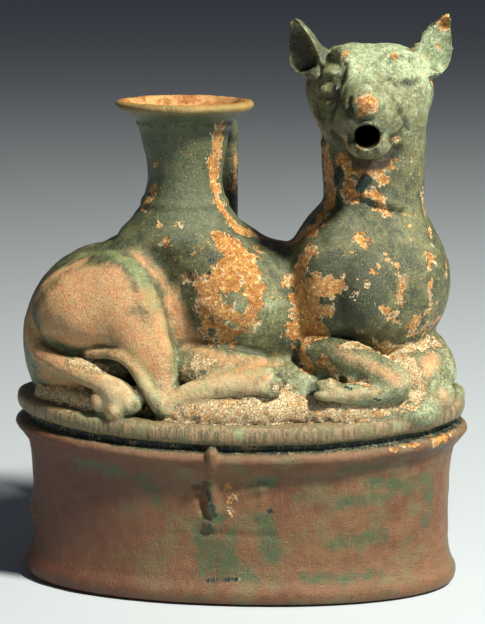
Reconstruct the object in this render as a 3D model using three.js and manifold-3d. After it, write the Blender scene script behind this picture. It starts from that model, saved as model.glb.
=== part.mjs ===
// Hollow glazed earthenware askos in the form of a reclining dog on an oval
// plinth, with a filling neck on the back, a strap handle behind the neck and
// a pouring hole in the dog's mouth.
// Millimetres, +Z up. X runs along the dog with its chest towards +X, and the
// flank and the face look towards -Y. The underside of the plinth is at Z = 0.
import * as THREE from "three";
import Module from "manifold-3d";

// plinth
const plinthHalfLength = 62.3;
const plinthHalfDepth = 28.4;
const plinthSquareness = 2.12;
const plinthSegments = 56;
const bandLift = 3.0;
const bandLiftFrom = 25;
const bandLiftTo = 44;
// rows of height and outward offset from the plan above: foot, concave wall,
// lower moulding, groove, upper band
const plinthProfile = [
  [0, 0.7], [0.9, 2.1], [3.8, 2.6], [7.5, 1.0], [14, 0], [30, 0], [38, 0.9], [41.2, 3.2],
  [43.4, 4.8], [45.2, 3.6], [46.2, 1.5], [47.3, 1.7], [48.6, 3.6], [51.8, 4.0], [53.2, 2.9],
];
const plinthChamberInset = 5.2;
const plinthFloor = 5.0;
const plinthChamberTop = 45.5;
const plinthChamberSegments = 32;

// filling neck, turned about a vertical axis
const neckX = -16.5;
const neckSegments = 36;
// rows of height and radius of the outside
const neckOutside = [
  [110.6, 10.6], [112.2, 12.75], [115.0, 11.55], [119.3, 10.85], [124.5, 11.2], [129.7, 12.2],
  [134.0, 13.1], [135.2, 13.9], [136.6, 14.1], [138.4, 17.6], [139.9, 19.7], [141.1, 20.0],
  [142.0, 19.3],
];
// rows of height and radius of the channel
const neckInside = [
  [89.0, 8.2], [104.0, 8.2], [119.0, 6.9], [127.0, 7.6], [134.0, 9.6], [138.6, 13.6],
  [141.0, 16.6], [142.6, 17.6],
];
// rows of height and radius where the neck spreads into the back
const neckFoot = [
  [84, 2], [94, 14], [101, 18.3], [104.2, 18.6], [106.8, 16.4], [109.4, 14.4], [111.2, 13.1],
  [112.6, 12.45], [113.6, 11.9], [115, 9],
];

// strap handle from under the rim to the far flank
const handleTurn = 15;
const handleWidth = 14.4;
const handleThickness = 5.0;
const handleCorner = 1.9;
// rows of distance from the neck axis and height
const handlePath = [
  [11.0, 131.6], [17.5, 133.8], [21.4, 133.0], [24.4, 130.4], [26.0, 126.0], [26.3, 117.0],
  [26.0, 107.0], [24.6, 98.0], [21.5, 90.0], [17.5, 84.5],
];

// pouring hole through the muzzle
const spoutX = 36.0;
const spoutZ = 134.9;
const spoutHalfWidth = 3.3;
const spoutHalfHeight = 2.8;
const spoutSegments = 16;

// share of a limb's radius that the web behind it keeps
const webShare = 0.6;

// wall of the figure's chambers and the grids that the forms are traced on
const wall = 4.2;
const figureCell = 1.5;
const chamberCell = 3.0;
const figureTriangles = 4700;
const chamberTriangles = 600;
const figureFloor = 47.5;

const { min, max, abs, sqrt, hypot, PI, sin, cos, pow, sign, ceil } = Math;
const mix = (a, b, t) => a + (b - a) * t;
const clamp01 = (t) => min(max(t, 0), 1);

function ease(from, to, value) {
  const t = clamp01((value - from) / (to - from));
  return t * t * (3 - 2 * t);
}

// Soft union and soft intersection of two distances over the width k.
function join(a, b, k) {
  const h = max(k - abs(a - b), 0) / k;
  return min(a, b) - h * h * k * 0.25;
}

function meet(a, b, k) {
  return -join(-a, -b, k);
}

// Cubic through rows of [height, radius], read at height z.
function profileAt(rows, z) {
  if (z <= rows[0][0]) return rows[0][1];
  for (let i = 0; i + 1 < rows.length; i++) {
    if (z > rows[i + 1][0]) continue;
    const [z0, r0] = rows[i];
    const [z1, r1] = rows[i + 1];
    const before = rows[max(i - 1, 0)];
    const after = rows[min(i + 2, rows.length - 1)];
    const span = z1 - z0;
    const m0 = ((r1 - before[1]) / (z1 - before[0])) * span;
    const m1 = ((after[1] - r0) / (after[0] - z0)) * span;
    const t = (z - z0) / span;
    const t2 = t * t;
    const t3 = t2 * t;
    return (2 * t3 - 3 * t2 + 1) * r0 + (t3 - 2 * t2 + t) * m0 + (3 * t2 - 2 * t3) * r1 + (t3 - t2) * m1;
  }
  return rows[rows.length - 1][1];
}

// Distance to an ellipsoid, tipped by `tip` degrees so that its +X end rises.
function egg([x, y, z], [cx, cy, cz], [rx, ry, rz], tip = 0) {
  let u = x - cx;
  let w = z - cz;
  const v = y - cy;
  if (tip) {
    const a = (tip * PI) / 180;
    [u, w] = [u * cos(a) + w * sin(a), w * cos(a) - u * sin(a)];
  }
  const k0 = hypot(u / rx, v / ry, w / rz);
  const k1 = hypot(u / (rx * rx), v / (ry * ry), w / (rz * rz));
  return k1 < 1e-9 ? -min(rx, ry, rz) : (k0 * (k0 - 1)) / k1;
}

// Smooth path through knots of [x, y, z, radius], cut into `parts` pieces each.
function path(knots, parts = 3) {
  const out = [knots[0]];
  for (let i = 0; i + 1 < knots.length; i++) {
    const a = knots[max(i - 1, 0)];
    const b = knots[i];
    const c = knots[i + 1];
    const d = knots[min(i + 2, knots.length - 1)];
    for (let n = 1; n <= parts; n++) {
      const t = n / parts;
      out.push(b.map((v, j) => {
        const m0 = (c[j] - a[j]) / 2;
        const m1 = (d[j] - v) / 2;
        return (2 * t ** 3 - 3 * t * t + 1) * v + (t ** 3 - 2 * t * t + t) * m0
          + (3 * t * t - 2 * t ** 3) * c[j] + (t ** 3 - t * t) * m1;
      }));
    }
  }
  return out;
}

// Distance to a tapered limb: the hull of a ball that runs along the path.
function limb([x, y, z], knots) {
  let best = 1e9;
  for (let i = 0; i + 1 < knots.length; i++) {
    const a = knots[i];
    const b = knots[i + 1];
    const [bx, by, bz] = [b[0] - a[0], b[1] - a[1], b[2] - a[2]];
    const [px, py, pz] = [x - a[0], y - a[1], z - a[2]];
    const size = bx * bx + by * by + bz * bz;
    const taper = a[3] - b[3];
    const along = px * bx + py * by + pz * bz;
    const past = along - size;
    const aside = (px * size - bx * along) ** 2 + (py * size - by * along) ** 2 + (pz * size - bz * along) ** 2;
    const slope = size - taper * taper;
    const k = sign(taper) * taper * taper * aside;
    let d;
    if (sign(past) * slope * past * past * size > k) d = sqrt(aside + past * past * size) / size - b[3];
    else if (sign(along) * slope * along * along * size < k) d = sqrt(aside + along * along * size) / size - a[3];
    else d = (sqrt((aside * slope) / size) + along * taper) / size - a[3];
    best = min(best, d);
  }
  return best;
}

// A limb on the near flank with a slimmer web of clay behind it, which reaches
// back to the middle, so that no gap is left between the limb and the body.
function relief(p, knots) {
  const [x, y, z] = p;
  let web = 1e9;
  for (let i = 0; i + 1 < knots.length; i++) {
    const a = knots[i];
    const b = knots[i + 1];
    const bx = b[0] - a[0];
    const bz = b[2] - a[2];
    const t = clamp01(((x - a[0]) * bx + (z - a[2]) * bz) / (bx * bx + bz * bz));
    const before = max(mix(a[1], b[1], t) - y, 0);
    web = min(web, hypot(x - a[0] - bx * t, before, z - a[2] - bz * t) - webShare * mix(a[3], b[3], t));
  }
  return join(limb(p, knots), max(web, y), 0.8);
}

// Trunk: rump, barrel, belly bulge, chest and upper arm, alike on both flanks.
function trunk([x, y, z]) {
  const p = [x, -abs(y), z];
  let d = egg(p, [-37.5, 0, 71], [27, 20, 29.3]);
  d = join(d, egg(p, [0, 0, 80], [38, 19, 22.3]), 8);
  d = join(d, egg(p, [-1.5, -7, 86.5], [17, 16.5, 16.5]), 3);
  d = join(d, egg(p, [38, 0, 90], [23, 21, 24]), 6);
  d = join(d, egg(p, [29, -6, 91], [15, 16.5, 22]), 3);
  return join(d, egg(p, [35.3, -11, 89.5], [10.6, 14.4, 14.6], 6), 0.9);
}

// Ground of clay between the trunk and the plinth.
function ground([x, y, z]) {
  const k0 = hypot(x / 59, y / 25.5);
  const k1 = hypot(x / 3481, y / 650);
  const side = (k0 * (k0 - 1)) / max(k1, 1e-9) + max(z - 54.5, 0) * 0.45;
  return meet(side, z - 65.5, 7);
}

// Clay pressed into the pockets between the limbs, as the mould leaves it.
function packing([x, y, z]) {
  const p = [x, -abs(y), z];
  let d = egg(p, [-6, -12, 67], [16, 11.6, 7.5]);
  d = join(d, egg(p, [15, -9, 61], [20, 15.5, 9.5]), 3);
  d = join(d, egg(p, [34, -15, 66.6], [12.5, 8, 5]), 2);
  d = join(d, egg(p, [50, -15, 55.5], [8.5, 8.6, 6.2]), 2);
  return min(d, egg(p, [-44, -12, 67.5], [13, 9.6, 5]));
}

const thighRoot = path([[-32, -14.5, 84, 11.5], [-27, -17.5, 74, 9.2], [-21.4, -20.3, 64, 5.6],
  [-19.6, -22.2, 58.6, 4.2]]);

function thigh(p) {
  let d = egg(p, [-40.5, -9.5, 83.2], [20.5, 16.8, 14.6], 14);
  d = join(d, egg(p, [-32.6, -11, 88], [11.6, 14.6, 13.6]), 5);
  return join(d, limb(p, thighRoot), 3);
}

const shin = path([[-42, -21.5, 71.6, 1.5], [-33.5, -24.4, 71.9, 1.6], [-28.6, -25.6, 68.6, 1.7],
  [-24.6, -26, 61.6, 2.1], [-20.2, -25.6, 57.2, 3.0]]);
const sole = path([[-20.2, -25.4, 57.2, 3.0], [-14, -25.4, 60.4, 3.3], [-6, -25.4, 63.2, 3.8],
  [2, -25.2, 64.7, 4.4], [7, -25.2, 65, 4.4]]);
const hindToes = [[9.6, -27.8, 62.8], [10.4, -26.8, 65.4], [8.8, -24.6, 67.6]];
const fold = path([[-16, -20.4, 72, 2.4], [-4, -22.2, 71.6, 2.8], [7, -21.4, 69.8, 2.6]]);

function hindFoot(p) {
  let d = join(relief(p, shin), relief(p, sole), 1.2);
  for (const toe of hindToes) d = join(d, egg(p, toe, [3.3, 2.2, 1.8]), 0.5);
  return join(d, relief(p, fold), 1.6);
}

const tailPath = path([[-53.6, -7.5, 88.6, 3], [-57, -10, 82.6, 3.3], [-58.6, -12.4, 76.2, 3.4],
  [-56.8, -15.4, 71.3, 3.4], [-52.4, -18.9, 68.7, 3.2], [-44, -22.2, 65.7, 3], [-36, -24.8, 63, 2.9],
  [-31.4, -26, 61.2, 2.9]]);
const tuft = [[-29.8, -26, 58.6, 3.9], [-33.6, -26, 56.4, 3.6], [-38, -24.4, 58.3, 3.6],
  [-34, -25.4, 61, 4.2]];

function tail(p) {
  let d = relief(p, tailPath);
  for (const [x, y, z, r] of tuft) d = join(d, egg(p, [x, y, z], [r, r * 0.9, r * 0.95]), 1.1);
  return d;
}

const forearm = path([[22.5, -16, 72, 5.4], [28.5, -19.6, 72, 5.2], [34, -21.6, 70.8, 4.7],
  [40.4, -22.6, 68, 4.5], [45.4, -22.4, 64.9, 4.7]]);
const forePaw = path([[45.4, -22.4, 63.4, 4.2], [40, -24.4, 62.4, 3.4], [33, -26, 62.1, 2.9],
  [27.6, -26.8, 62.8, 2.6]]);
const foreToes = [[25.6, -27.4, 62], [26, -26.4, 64.7]];

function foreleg(p) {
  let d = relief(p, forePaw);
  for (const toe of foreToes) d = join(d, egg(p, toe, [3.4, 2.4, 1.7]), 0.5);
  return join(relief(p, forearm), d, 0.6);
}

const farArm = path([[44, 0, 73, 9], [54.5, -4.5, 70, 6.2], [58, -9, 65, 5.2]]);

function farForeleg(p) {
  let d = limb(p, farArm);
  d = join(d, egg(p, [49.5, -9, 64], [8, 11, 9]), 3);
  d = join(d, egg(p, [57.6, -12.6, 59.4], [5.1, 5.4, 4.8]), 1);
  return join(d, egg(p, [62.6, -3.2, 57.4], [3.6, 4.2, 3.4]), 1.4);
}

const throat = path([[39.4, 1, 98, 15], [38.6, 1, 110, 14.4], [38.2, 1, 122, 14.8], [37.8, 0, 133, 15]]);
const muzzle = path([[36.5, -10, 143.4, 9.6], [36.2, -18, 141.4, 8], [36.1, -24.5, 140, 6.1]]);
const browLeft = path([[26.6, -8.4, 157, 1.3], [29.8, -11.2, 155.8, 1.9], [31.2, -14.2, 150.8, 1.4]]);
const browRight = path([[39.8, -13.6, 153.4, 1.4], [42.6, -11, 156.2, 1.5], [47.2, -9.2, 155.8, 1.4],
  [50, -7.4, 153, 1.3]]);
const lips = path([[30.4, -25, 134.2, 0.8], [36, -28, 134.8, 0.8], [42.8, -25, 135.2, 0.9]]);

function head(p) {
  let d = limb(p, throat);
  d = join(d, egg(p, [31.8, 0, 145.6], [13.4, 15, 13.0]), 3);
  d = join(d, egg(p, [42.2, 0, 145.6], [12.6, 15, 13.0]), 3);
  d = join(d, egg(p, [37.1, -4.6, 139.6], [15.8, 13.4, 13.0]), 1.6);
  d = join(d, limb(p, muzzle), 5);
  d = join(d, egg(p, [36, -28.4, 143.6], [4.6, 3.6, 3.4]), 1.4);
  d = join(d, egg(p, [39.2, -26.6, 139.9], [3.3, 3.6, 3.2]), 1);
  d = join(d, egg(p, [32.8, -26.4, 139.7], [3.1, 3.4, 3.2]), 1);
  d = join(d, egg(p, [36.4, -21.6, 132.2], [6.2, 7.2, 4.2]), 2);
  d = join(d, egg(p, [25.8, -11.4, 150.2], [3.0, 3.2, 3.8]), 0.9);
  d = join(d, egg(p, [44.4, -13, 150.6], [4.0, 2.6, 3.0], -10), 0.9);
  d = join(d, min(limb(p, browLeft), limb(p, browRight)), 2.6);
  return meet(d, -limb(p, lips), 0.7);
}

// Pricked ear: a leaf from its root to its tip, hollowed on the front face.
// `turn` swings the hollow about the ear's own length.
function ear([x, y, z], root, tip, turn) {
  const long = [tip[0] - root[0], tip[1] - root[1], tip[2] - root[2]];
  const length = hypot(...long);
  const [ax, ay, az] = long.map((v) => v / length);
  const level = hypot(ax, az);
  const across = [az / level, 0, -ax / level];
  const through = [-ay * across[2], ax * across[2] - az * across[0], ay * across[0]];
  const q = [x - root[0], y - root[1], z - root[2]];
  const along = q[0] * ax + q[1] * ay + q[2] * az;
  const b = q[0] * across[0] + q[2] * across[2];
  const c = q[0] * through[0] + q[1] * through[1] + q[2] * through[2];
  const a = (turn * PI) / 180;
  const v = b * cos(a) + c * sin(a);
  const w = c * cos(a) - b * sin(a);
  const u = clamp01(along / length);
  const full = v * sign(turn) < 0 ? 7.6 : 5.6;
  const half = full * pow(1 - u, 0.62) * (0.62 + 0.3 * ease(0, 0.25, u) + 0.7 * u * (1 - u)) + 0.8;
  const deep = mix(4.8, 2.0, pow(u, 0.8));
  const leaf = (hypot(v / half, w / deep) - 1) * min(half, deep);
  const shell = max(leaf, abs(along - length * u) - 0.2);
  const bowl = (hypot(v / max(half - 1.9, 0.2), (w - deep * 1.25) / (deep * 1.05)) - 1) * min(half, deep);
  return meet(shell, -max(bowl, 2.2 - along, along - length * 0.78), 0.8);
}

function ears(p) {
  return min(
    ear(p, [21.2, -3.2, 150.6], [15.2, -4.6, 166.3], 28),
    ear(p, [51.6, -3.0, 151.0], [58.2, -4.2, 168.0], -24),
  );
}

function neckSpread([x, y, z]) {
  return max((hypot(x - neckX, y) - profileAt(neckFoot, z)) * 0.8, z - 115);
}

// The whole figure down to the ground that it lies on, without neck and handle.
function figure(p) {
  const far = [p[0], -p[1], p[2]];
  let d = join(join(trunk(p), ground(p), 3), packing(p), 2);
  d = join(d, thigh(p), 0.9);
  d = join(d, thigh(far), 1.5);
  d = join(d, min(hindFoot(p), hindFoot(far)), 1);
  d = join(d, tail(p), 1);
  d = join(d, min(foreleg(p), foreleg(far)), 1);
  d = join(d, farForeleg(p), 1.6);
  d = join(d, head(p), 5);
  d = join(d, ears(p), 1.4);
  d = join(d, neckSpread(p), 6);
  return max(d, figureFloor - p[2]);
}

// Chambers inside the figure, one wall in from the large forms only.
function chamber(p) {
  const w = wall;
  let d = egg(p, [-37.5, 0, 71], [27 - w, 20 - w, 29.3 - w]);
  d = join(d, egg(p, [0, 0, 80], [38 - w, 19 - w, 22.3 - w]), 6);
  d = join(d, egg(p, [38, 0, 90], [23 - w, 20 - w, 24 - w]), 5);
  d = join(d, limb(p, [[39, 0, 98, 14.6 - w], [38, 0, 133, 14.6 - w]]), 3);
  d = join(d, egg(p, [37, -1, 142.5], [15.2 - w, 14.2 - w, 14.6 - w]), 3);
  const floorHole = max(hypot(p[0] / 46, p[1] / 15) * 15 - 15, p[2] - 72);
  d = join(d, floorHole, 4);
  return max(d, 43.5 - p[2]);
}

// Traces the zero surface of `form` in the box lo..hi: every grid cube is cut
// into six tetrahedra, and each tetrahedron gives no, one or two triangles.
function trace(form, lo, hi, cell) {
  const n = lo.map((v, i) => ceil((hi[i] - v) / cell) + 1);
  const at = (i, j, k) => (k * n[1] + j) * n[0] + i;
  const place = (i, j, k) => [lo[0] + i * cell, lo[1] + j * cell, lo[2] + k * cell];
  const value = new Float64Array(n[0] * n[1] * n[2]);
  // a block of nodes far from the surface takes its middle's value
  const block = 4;
  const clear = 1.5 * cell * block * sqrt(3) / 2;
  for (let k = 0; k < n[2]; k += block) {
    for (let j = 0; j < n[1]; j += block) {
      for (let i = 0; i < n[0]; i += block) {
        const middle = form(place(i + block / 2, j + block / 2, k + block / 2));
        for (let c = k; c < min(k + block, n[2]); c++) {
          for (let b = j; b < min(j + block, n[1]); b++) {
            for (let a = i; a < min(i + block, n[0]); a++) {
              const d = abs(middle) > clear ? middle : form(place(a, b, c));
              value[at(a, b, c)] = abs(d) < 0.02 ? 0.02 * (d < 0 ? -1 : 1) : d;
            }
          }
        }
      }
    }
  }
  const corner = [[0, 0, 0], [1, 0, 0], [0, 1, 0], [1, 1, 0], [0, 0, 1], [1, 0, 1], [0, 1, 1], [1, 1, 1]];
  const tetrahedra = [[0, 1, 3, 7], [0, 3, 2, 7], [0, 2, 6, 7], [0, 6, 4, 7], [0, 4, 5, 7], [0, 5, 1, 7]];
  const points = [];
  const triangles = [];
  const known = new Map();
  const cut = (a, b) => {
    const key = a.id < b.id ? a.id * value.length + b.id : b.id * value.length + a.id;
    if (!known.has(key)) {
      const t = min(max(a.d / (a.d - b.d), 0.08), 0.92);
      known.set(key, points.push(a.p.map((v, i) => mix(v, b.p[i], t))) - 1);
    }
    return known.get(key);
  };
  // each triangle is turned so that its normal points from inside to outside
  const add = (a, b, c, inside, outside) => {
    const [p, q, r] = [points[a], points[b], points[c]];
    const u = q.map((v, i) => v - p[i]);
    const v = r.map((s, i) => s - p[i]);
    const side = (u[1] * v[2] - u[2] * v[1]) * (outside.p[0] - inside.p[0])
      + (u[2] * v[0] - u[0] * v[2]) * (outside.p[1] - inside.p[1])
      + (u[0] * v[1] - u[1] * v[0]) * (outside.p[2] - inside.p[2]);
    triangles.push(side > 0 ? [a, b, c] : [a, c, b]);
  };
  for (let k = 0; k + 1 < n[2]; k++) {
    for (let j = 0; j + 1 < n[1]; j++) {
      for (let i = 0; i + 1 < n[0]; i++) {
        const cube = corner.map(([a, b, c]) => at(i + a, j + b, k + c));
        const low = cube.filter((id) => value[id] < 0).length;
        if (low === 0 || low === 8) continue;
        const nodes = corner.map(([a, b, c], m) => ({
          id: cube[m], d: value[cube[m]], p: place(i + a, j + b, k + c),
        }));
        for (const four of tetrahedra) {
          const inside = four.filter((m) => nodes[m].d < 0).map((m) => nodes[m]);
          const outside = four.filter((m) => nodes[m].d >= 0).map((m) => nodes[m]);
          if (inside.length === 1) {
            add(...outside.map((o) => cut(inside[0], o)), inside[0], outside[0]);
          } else if (inside.length === 3) {
            add(...inside.map((o) => cut(o, outside[0])), inside[0], outside[0]);
          } else if (inside.length === 2) {
            const [a, b, c, d] = [cut(inside[0], outside[0]), cut(inside[0], outside[1]),
              cut(inside[1], outside[1]), cut(inside[1], outside[0])];
            add(a, b, c, inside[0], outside[0]);
            add(a, c, d, inside[0], outside[0]);
          }
        }
      }
    }
  }
  return { points, triangles };
}

// Planes' squared distance as ten numbers, and its value at a point.
function planeError(normal, offset, weight) {
  const [a, b, c] = normal;
  const d = offset;
  return [a * a, a * b, a * c, a * d, b * b, b * c, b * d, c * c, c * d, d * d].map((v) => v * weight);
}

function errorAt(q, [x, y, z]) {
  return q[0] * x * x + 2 * q[1] * x * y + 2 * q[2] * x * z + 2 * q[3] * x + q[4] * y * y
    + 2 * q[5] * y * z + 2 * q[6] * y + q[7] * z * z + 2 * q[8] * z + q[9];
}

// The point of least error near the edge a-b, held softly to the edge's middle.
function bestPoint(q, a, b) {
  const middle = a.map((v, i) => (v + b[i]) / 2);
  const hold = 0.03 * (q[0] + q[4] + q[7]);
  const [xx, xy, xz, yy, yz, zz] = [q[0] + hold, q[1], q[2], q[4] + hold, q[5], q[7] + hold];
  const [p, r, s] = [hold * middle[0] - q[3], hold * middle[1] - q[6], hold * middle[2] - q[8]];
  const det = xx * (yy * zz - yz * yz) - xy * (xy * zz - yz * xz) + xz * (xy * yz - yy * xz);
  const reach = hypot(...a.map((v, i) => v - b[i]));
  const best = [
    (p * (yy * zz - yz * yz) - xy * (r * zz - yz * s) + xz * (r * yz - yy * s)) / det,
    (xx * (r * zz - yz * s) - p * (xy * zz - yz * xz) + xz * (xy * s - r * xz)) / det,
    (xx * (yy * s - r * yz) - xy * (xy * s - r * xz) + p * (xy * yz - yy * xz)) / det,
  ];
  return hypot(...best.map((v, i) => v - middle[i])) < 0.7 * reach ? best : middle;
}

// Thins a closed mesh to `count` triangles by collapsing the edges whose loss
// of form is least. `care` gives the weight of the form at a point.
function thin({ points, triangles }, count, care = () => 1) {
  const P = points.map((p) => [...p]);
  const T = triangles.map((t) => [...t]);
  const Q = P.map(() => new Array(10).fill(0));
  const fans = P.map(() => new Set());
  const age = new Int32Array(P.length);
  const normalOf = (a, b, c) => {
    const u = [b[0] - a[0], b[1] - a[1], b[2] - a[2]];
    const v = [c[0] - a[0], c[1] - a[1], c[2] - a[2]];
    return [u[1] * v[2] - u[2] * v[1], u[2] * v[0] - u[0] * v[2], u[0] * v[1] - u[1] * v[0]];
  };
  T.forEach((t, id) => {
    const n = normalOf(...t.map((v) => P[v]));
    const area = hypot(...n);
    if (area > 1e-12) {
      const unit = n.map((v) => v / area);
      const p = P[t[0]];
      const q = planeError(unit, -(unit[0] * p[0] + unit[1] * p[1] + unit[2] * p[2]), area * care(p));
      for (const v of t) q.forEach((s, i) => { Q[v][i] += s; });
    }
    for (const v of t) fans[v].add(id);
  });
  // binary heap of [cost, a, b, age of a, age of b, point, tries]
  const heap = [];
  const push = (item) => {
    let i = heap.push(item) - 1;
    while (i > 0) {
      const up = (i - 1) >> 1;
      if (heap[up][0] <= heap[i][0]) break;
      [heap[up], heap[i]] = [heap[i], heap[up]];
      i = up;
    }
  };
  const pop = () => {
    const first = heap[0];
    const last = heap.pop();
    if (heap.length) {
      heap[0] = last;
      let i = 0;
      for (;;) {
        let low = i;
        for (const c of [2 * i + 1, 2 * i + 2]) if (c < heap.length && heap[c][0] < heap[low][0]) low = c;
        if (low === i) break;
        [heap[low], heap[i]] = [heap[i], heap[low]];
        i = low;
      }
    }
    return first;
  };
  const offer = (a, b) => {
    const q = Q[a].map((v, i) => v + Q[b][i]);
    const p = bestPoint(q, P[a], P[b]);
    const reach = hypot(P[a][0] - P[b][0], P[a][1] - P[b][1], P[a][2] - P[b][2]);
    push([max(errorAt(q, p), 0) + 1e-5 * reach * reach, a, b, age[a], age[b], p, 0]);
  };
  const around = (v) => {
    const out = new Set();
    for (const id of fans[v]) for (const w of T[id]) if (w !== v) out.add(w);
    return out;
  };
  for (const t of T) for (let i = 0; i < 3; i++) if (t[i] < t[(i + 1) % 3]) offer(t[i], t[(i + 1) % 3]);
  let left = T.length;
  // a move must not turn a triangle over or make it more of a sliver
  const shape = (corners, size) => {
    const longest = max(...[0, 1, 2].map((i) => hypot(...corners[i].map((s, j) => s - corners[(i + 1) % 3][j]))));
    return size / max(longest * longest, 1e-12);
  };
  const keepsForm = (v, other, p) => {
    for (const id of fans[v]) {
      const t = T[id];
      if (t.includes(other)) continue;
      const before = t.map((w) => P[w]);
      const after = t.map((w) => (w === v ? p : P[w]));
      const old = normalOf(...before);
      const now = normalOf(...after);
      const oldSize = hypot(...old);
      const size = hypot(...now);
      const oldShape = shape(before, oldSize);
      const newShape = shape(after, size);
      if (oldShape > 0.02 && old[0] * now[0] + old[1] * now[1] + old[2] * now[2] < 0.4 * oldSize * size) return false;
      if (newShape < 0.1 && newShape < 0.8 * oldShape) return false;
    }
    return true;
  };
  while (left > count && heap.length) {
    const [cost, a, b, ageA, ageB, p, tries] = pop();
    if (age[a] !== ageA || age[b] !== ageB) continue;
    const ringA = around(a);
    const ringB = around(b);
    const shared = [...ringA].filter((v) => ringB.has(v));
    if (shared.length !== 2 || ringA.size + ringB.size > 18) continue;
    if (!keepsForm(a, b, p) || !keepsForm(b, a, p)) {
      if (tries < 6) push([cost * 4 + 1e-3, a, b, ageA, ageB, p, tries + 1]);
      continue;
    }
    P[a] = p;
    Q[a] = Q[a].map((v, i) => v + Q[b][i]);
    for (const id of fans[b]) {
      if (T[id].includes(a)) {
        for (const v of T[id]) if (v !== b) fans[v].delete(id);
        T[id] = null;
        left -= 1;
      } else {
        T[id][T[id].indexOf(b)] = a;
        fans[a].add(id);
      }
    }
    fans[b].clear();
    age[b] = -1;
    age[a] += 1;
    for (const v of around(a)) offer(min(a, v), max(a, v));
  }
  const used = new Map();
  const outPoints = [];
  const outTriangles = T.filter((t) => t).map((t) => t.map((v) => {
    if (!used.has(v)) used.set(v, outPoints.push(P[v]) - 1);
    return used.get(v);
  }));
  return { points: outPoints, triangles: outTriangles };
}

// Moves a point onto the zero surface of a form, by `reach` at most.
function settled(p, form, reach) {
  const e = 0.05;
  const d = form(p);
  const slope = [0, 1, 2].map((i) => (form(p.map((v, j) => (i === j ? v + e : v))) - d) / e);
  const steep = slope.reduce((sum, v) => sum + v * v, 0);
  const step = -d / max(steep, 0.2);
  const length = abs(step) * sqrt(steep);
  return p.map((v, i) => v + slope[i] * step * min(1, reach / max(length, 1e-9)));
}

// Evens out the triangles of a traced mesh without leaving its form.
function evened({ points, triangles }, form, rounds) {
  let now = points;
  for (let round = 0; round < rounds; round++) {
    const sums = now.map(() => [0, 0, 0, 0]);
    for (const t of triangles) {
      for (let i = 0; i < 3; i++) {
        const sum = sums[t[i]];
        const next = now[t[(i + 1) % 3]];
        sum[0] += next[0];
        sum[1] += next[1];
        sum[2] += next[2];
        sum[3] += 1;
      }
    }
    const last = round === rounds - 1;
    const at = now;
    now = sums.map(([x, y, z, n], i) => {
      const p = [x / n, y / n, z / n].map((v, j) => mix(at[i][j], v, 0.7));
      return last ? settled(p, form, 0.4) : p;
    });
  }
  return { points: now, triangles };
}

// Closed skin over rings of equal length, from the bottom ring to the top one,
// with a centre point in each end.
function skin(rings) {
  const n = rings[0].length;
  const points = rings.flat();
  const triangles = [];
  for (let r = 0; r + 1 < rings.length; r++) {
    for (let i = 0; i < n; i++) {
      const a = r * n + i;
      const b = r * n + ((i + 1) % n);
      triangles.push([a, b, b + n], [a, b + n, a + n]);
    }
  }
  for (const [ring, base, flip] of [[rings[0], 0, true], [rings[rings.length - 1], (rings.length - 1) * n, false]]) {
    const centre = points.push([0, 1, 2].map((j) => ring.reduce((s, p) => s + p[j], 0) / n)) - 1;
    for (let i = 0; i < n; i++) {
      const a = base + i;
      const b = base + ((i + 1) % n);
      triangles.push(flip ? [centre, b, a] : [centre, a, b]);
    }
  }
  return { points, triangles };
}

// One ring of the plinth's rounded oval plan.
function ovalRing(offset, z, segments) {
  const ring = [];
  for (let i = 0; i < segments; i++) {
    const a = (i / segments) * 2 * PI;
    const x = (plinthHalfLength + offset) * sign(cos(a)) * pow(abs(cos(a)), 2 / plinthSquareness);
    const y = (plinthHalfDepth + offset) * sign(sin(a)) * pow(abs(sin(a)), 2 / plinthSquareness);
    const lift = bandLift * (x / plinthHalfLength) ** 2 * ease(bandLiftFrom, bandLiftTo, z);
    ring.push([x, y, z + lift]);
  }
  return ring;
}

function turned(rows, segments) {
  return skin(rows.map(([z, r]) => Array.from({ length: segments }, (_, i) => {
    const a = (i / segments) * 2 * PI;
    return [neckX + r * cos(a), r * sin(a), z];
  })));
}

// The strap: a rounded rectangle swept along the handle's path.
function strap() {
  const a = (handleTurn * PI) / 180;
  const outward = [sin(a), cos(a)];
  const across = [cos(a), -sin(a)];
  const section = [];
  for (const [sx, sy, from] of [[1, 1, 0], [-1, 1, 90], [-1, -1, 180], [1, -1, 270]]) {
    for (const step of [0, 45, 90]) {
      const t = ((from + step) * PI) / 180;
      section.push([sx * (handleWidth / 2 - handleCorner) + handleCorner * cos(t),
        sy * (handleThickness / 2 - handleCorner) + handleCorner * sin(t)]);
    }
  }
  const fine = path(handlePath, 2);
  return skin(fine.map(([r, z], i) => {
    const before = fine[max(i - 1, 0)];
    const after = fine[min(i + 1, fine.length - 1)];
    const length = hypot(after[0] - before[0], after[1] - before[1]);
    const [tr, tz] = [(after[0] - before[0]) / length, (after[1] - before[1]) / length];
    const flare = 1 + 0.16 * ease(126, 134, z) * (i < fine.length / 2 ? 1 : 0);
    return section.map(([u, v]) => {
      const out = r - tz * v;
      return [neckX + outward[0] * out + across[0] * u * flare,
        outward[1] * out + across[1] * u * flare, z + tr * v];
    });
  }));
}

// The pouring hole: an oval bore along Y, flared at the lips.
function spout() {
  const rows = [[-36, 1.5], [-28.4, 1.22], [-24.5, 1.0], [-5, 1.0]];
  return skin(rows.map(([y, wide]) => Array.from({ length: spoutSegments }, (_, i) => {
    const a = (i / spoutSegments) * 2 * PI;
    return [spoutX + spoutHalfWidth * wide * cos(a), y, spoutZ + spoutHalfHeight * wide * sin(a)];
  })));
}

const wasm = await Module();
wasm.setup();

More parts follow.
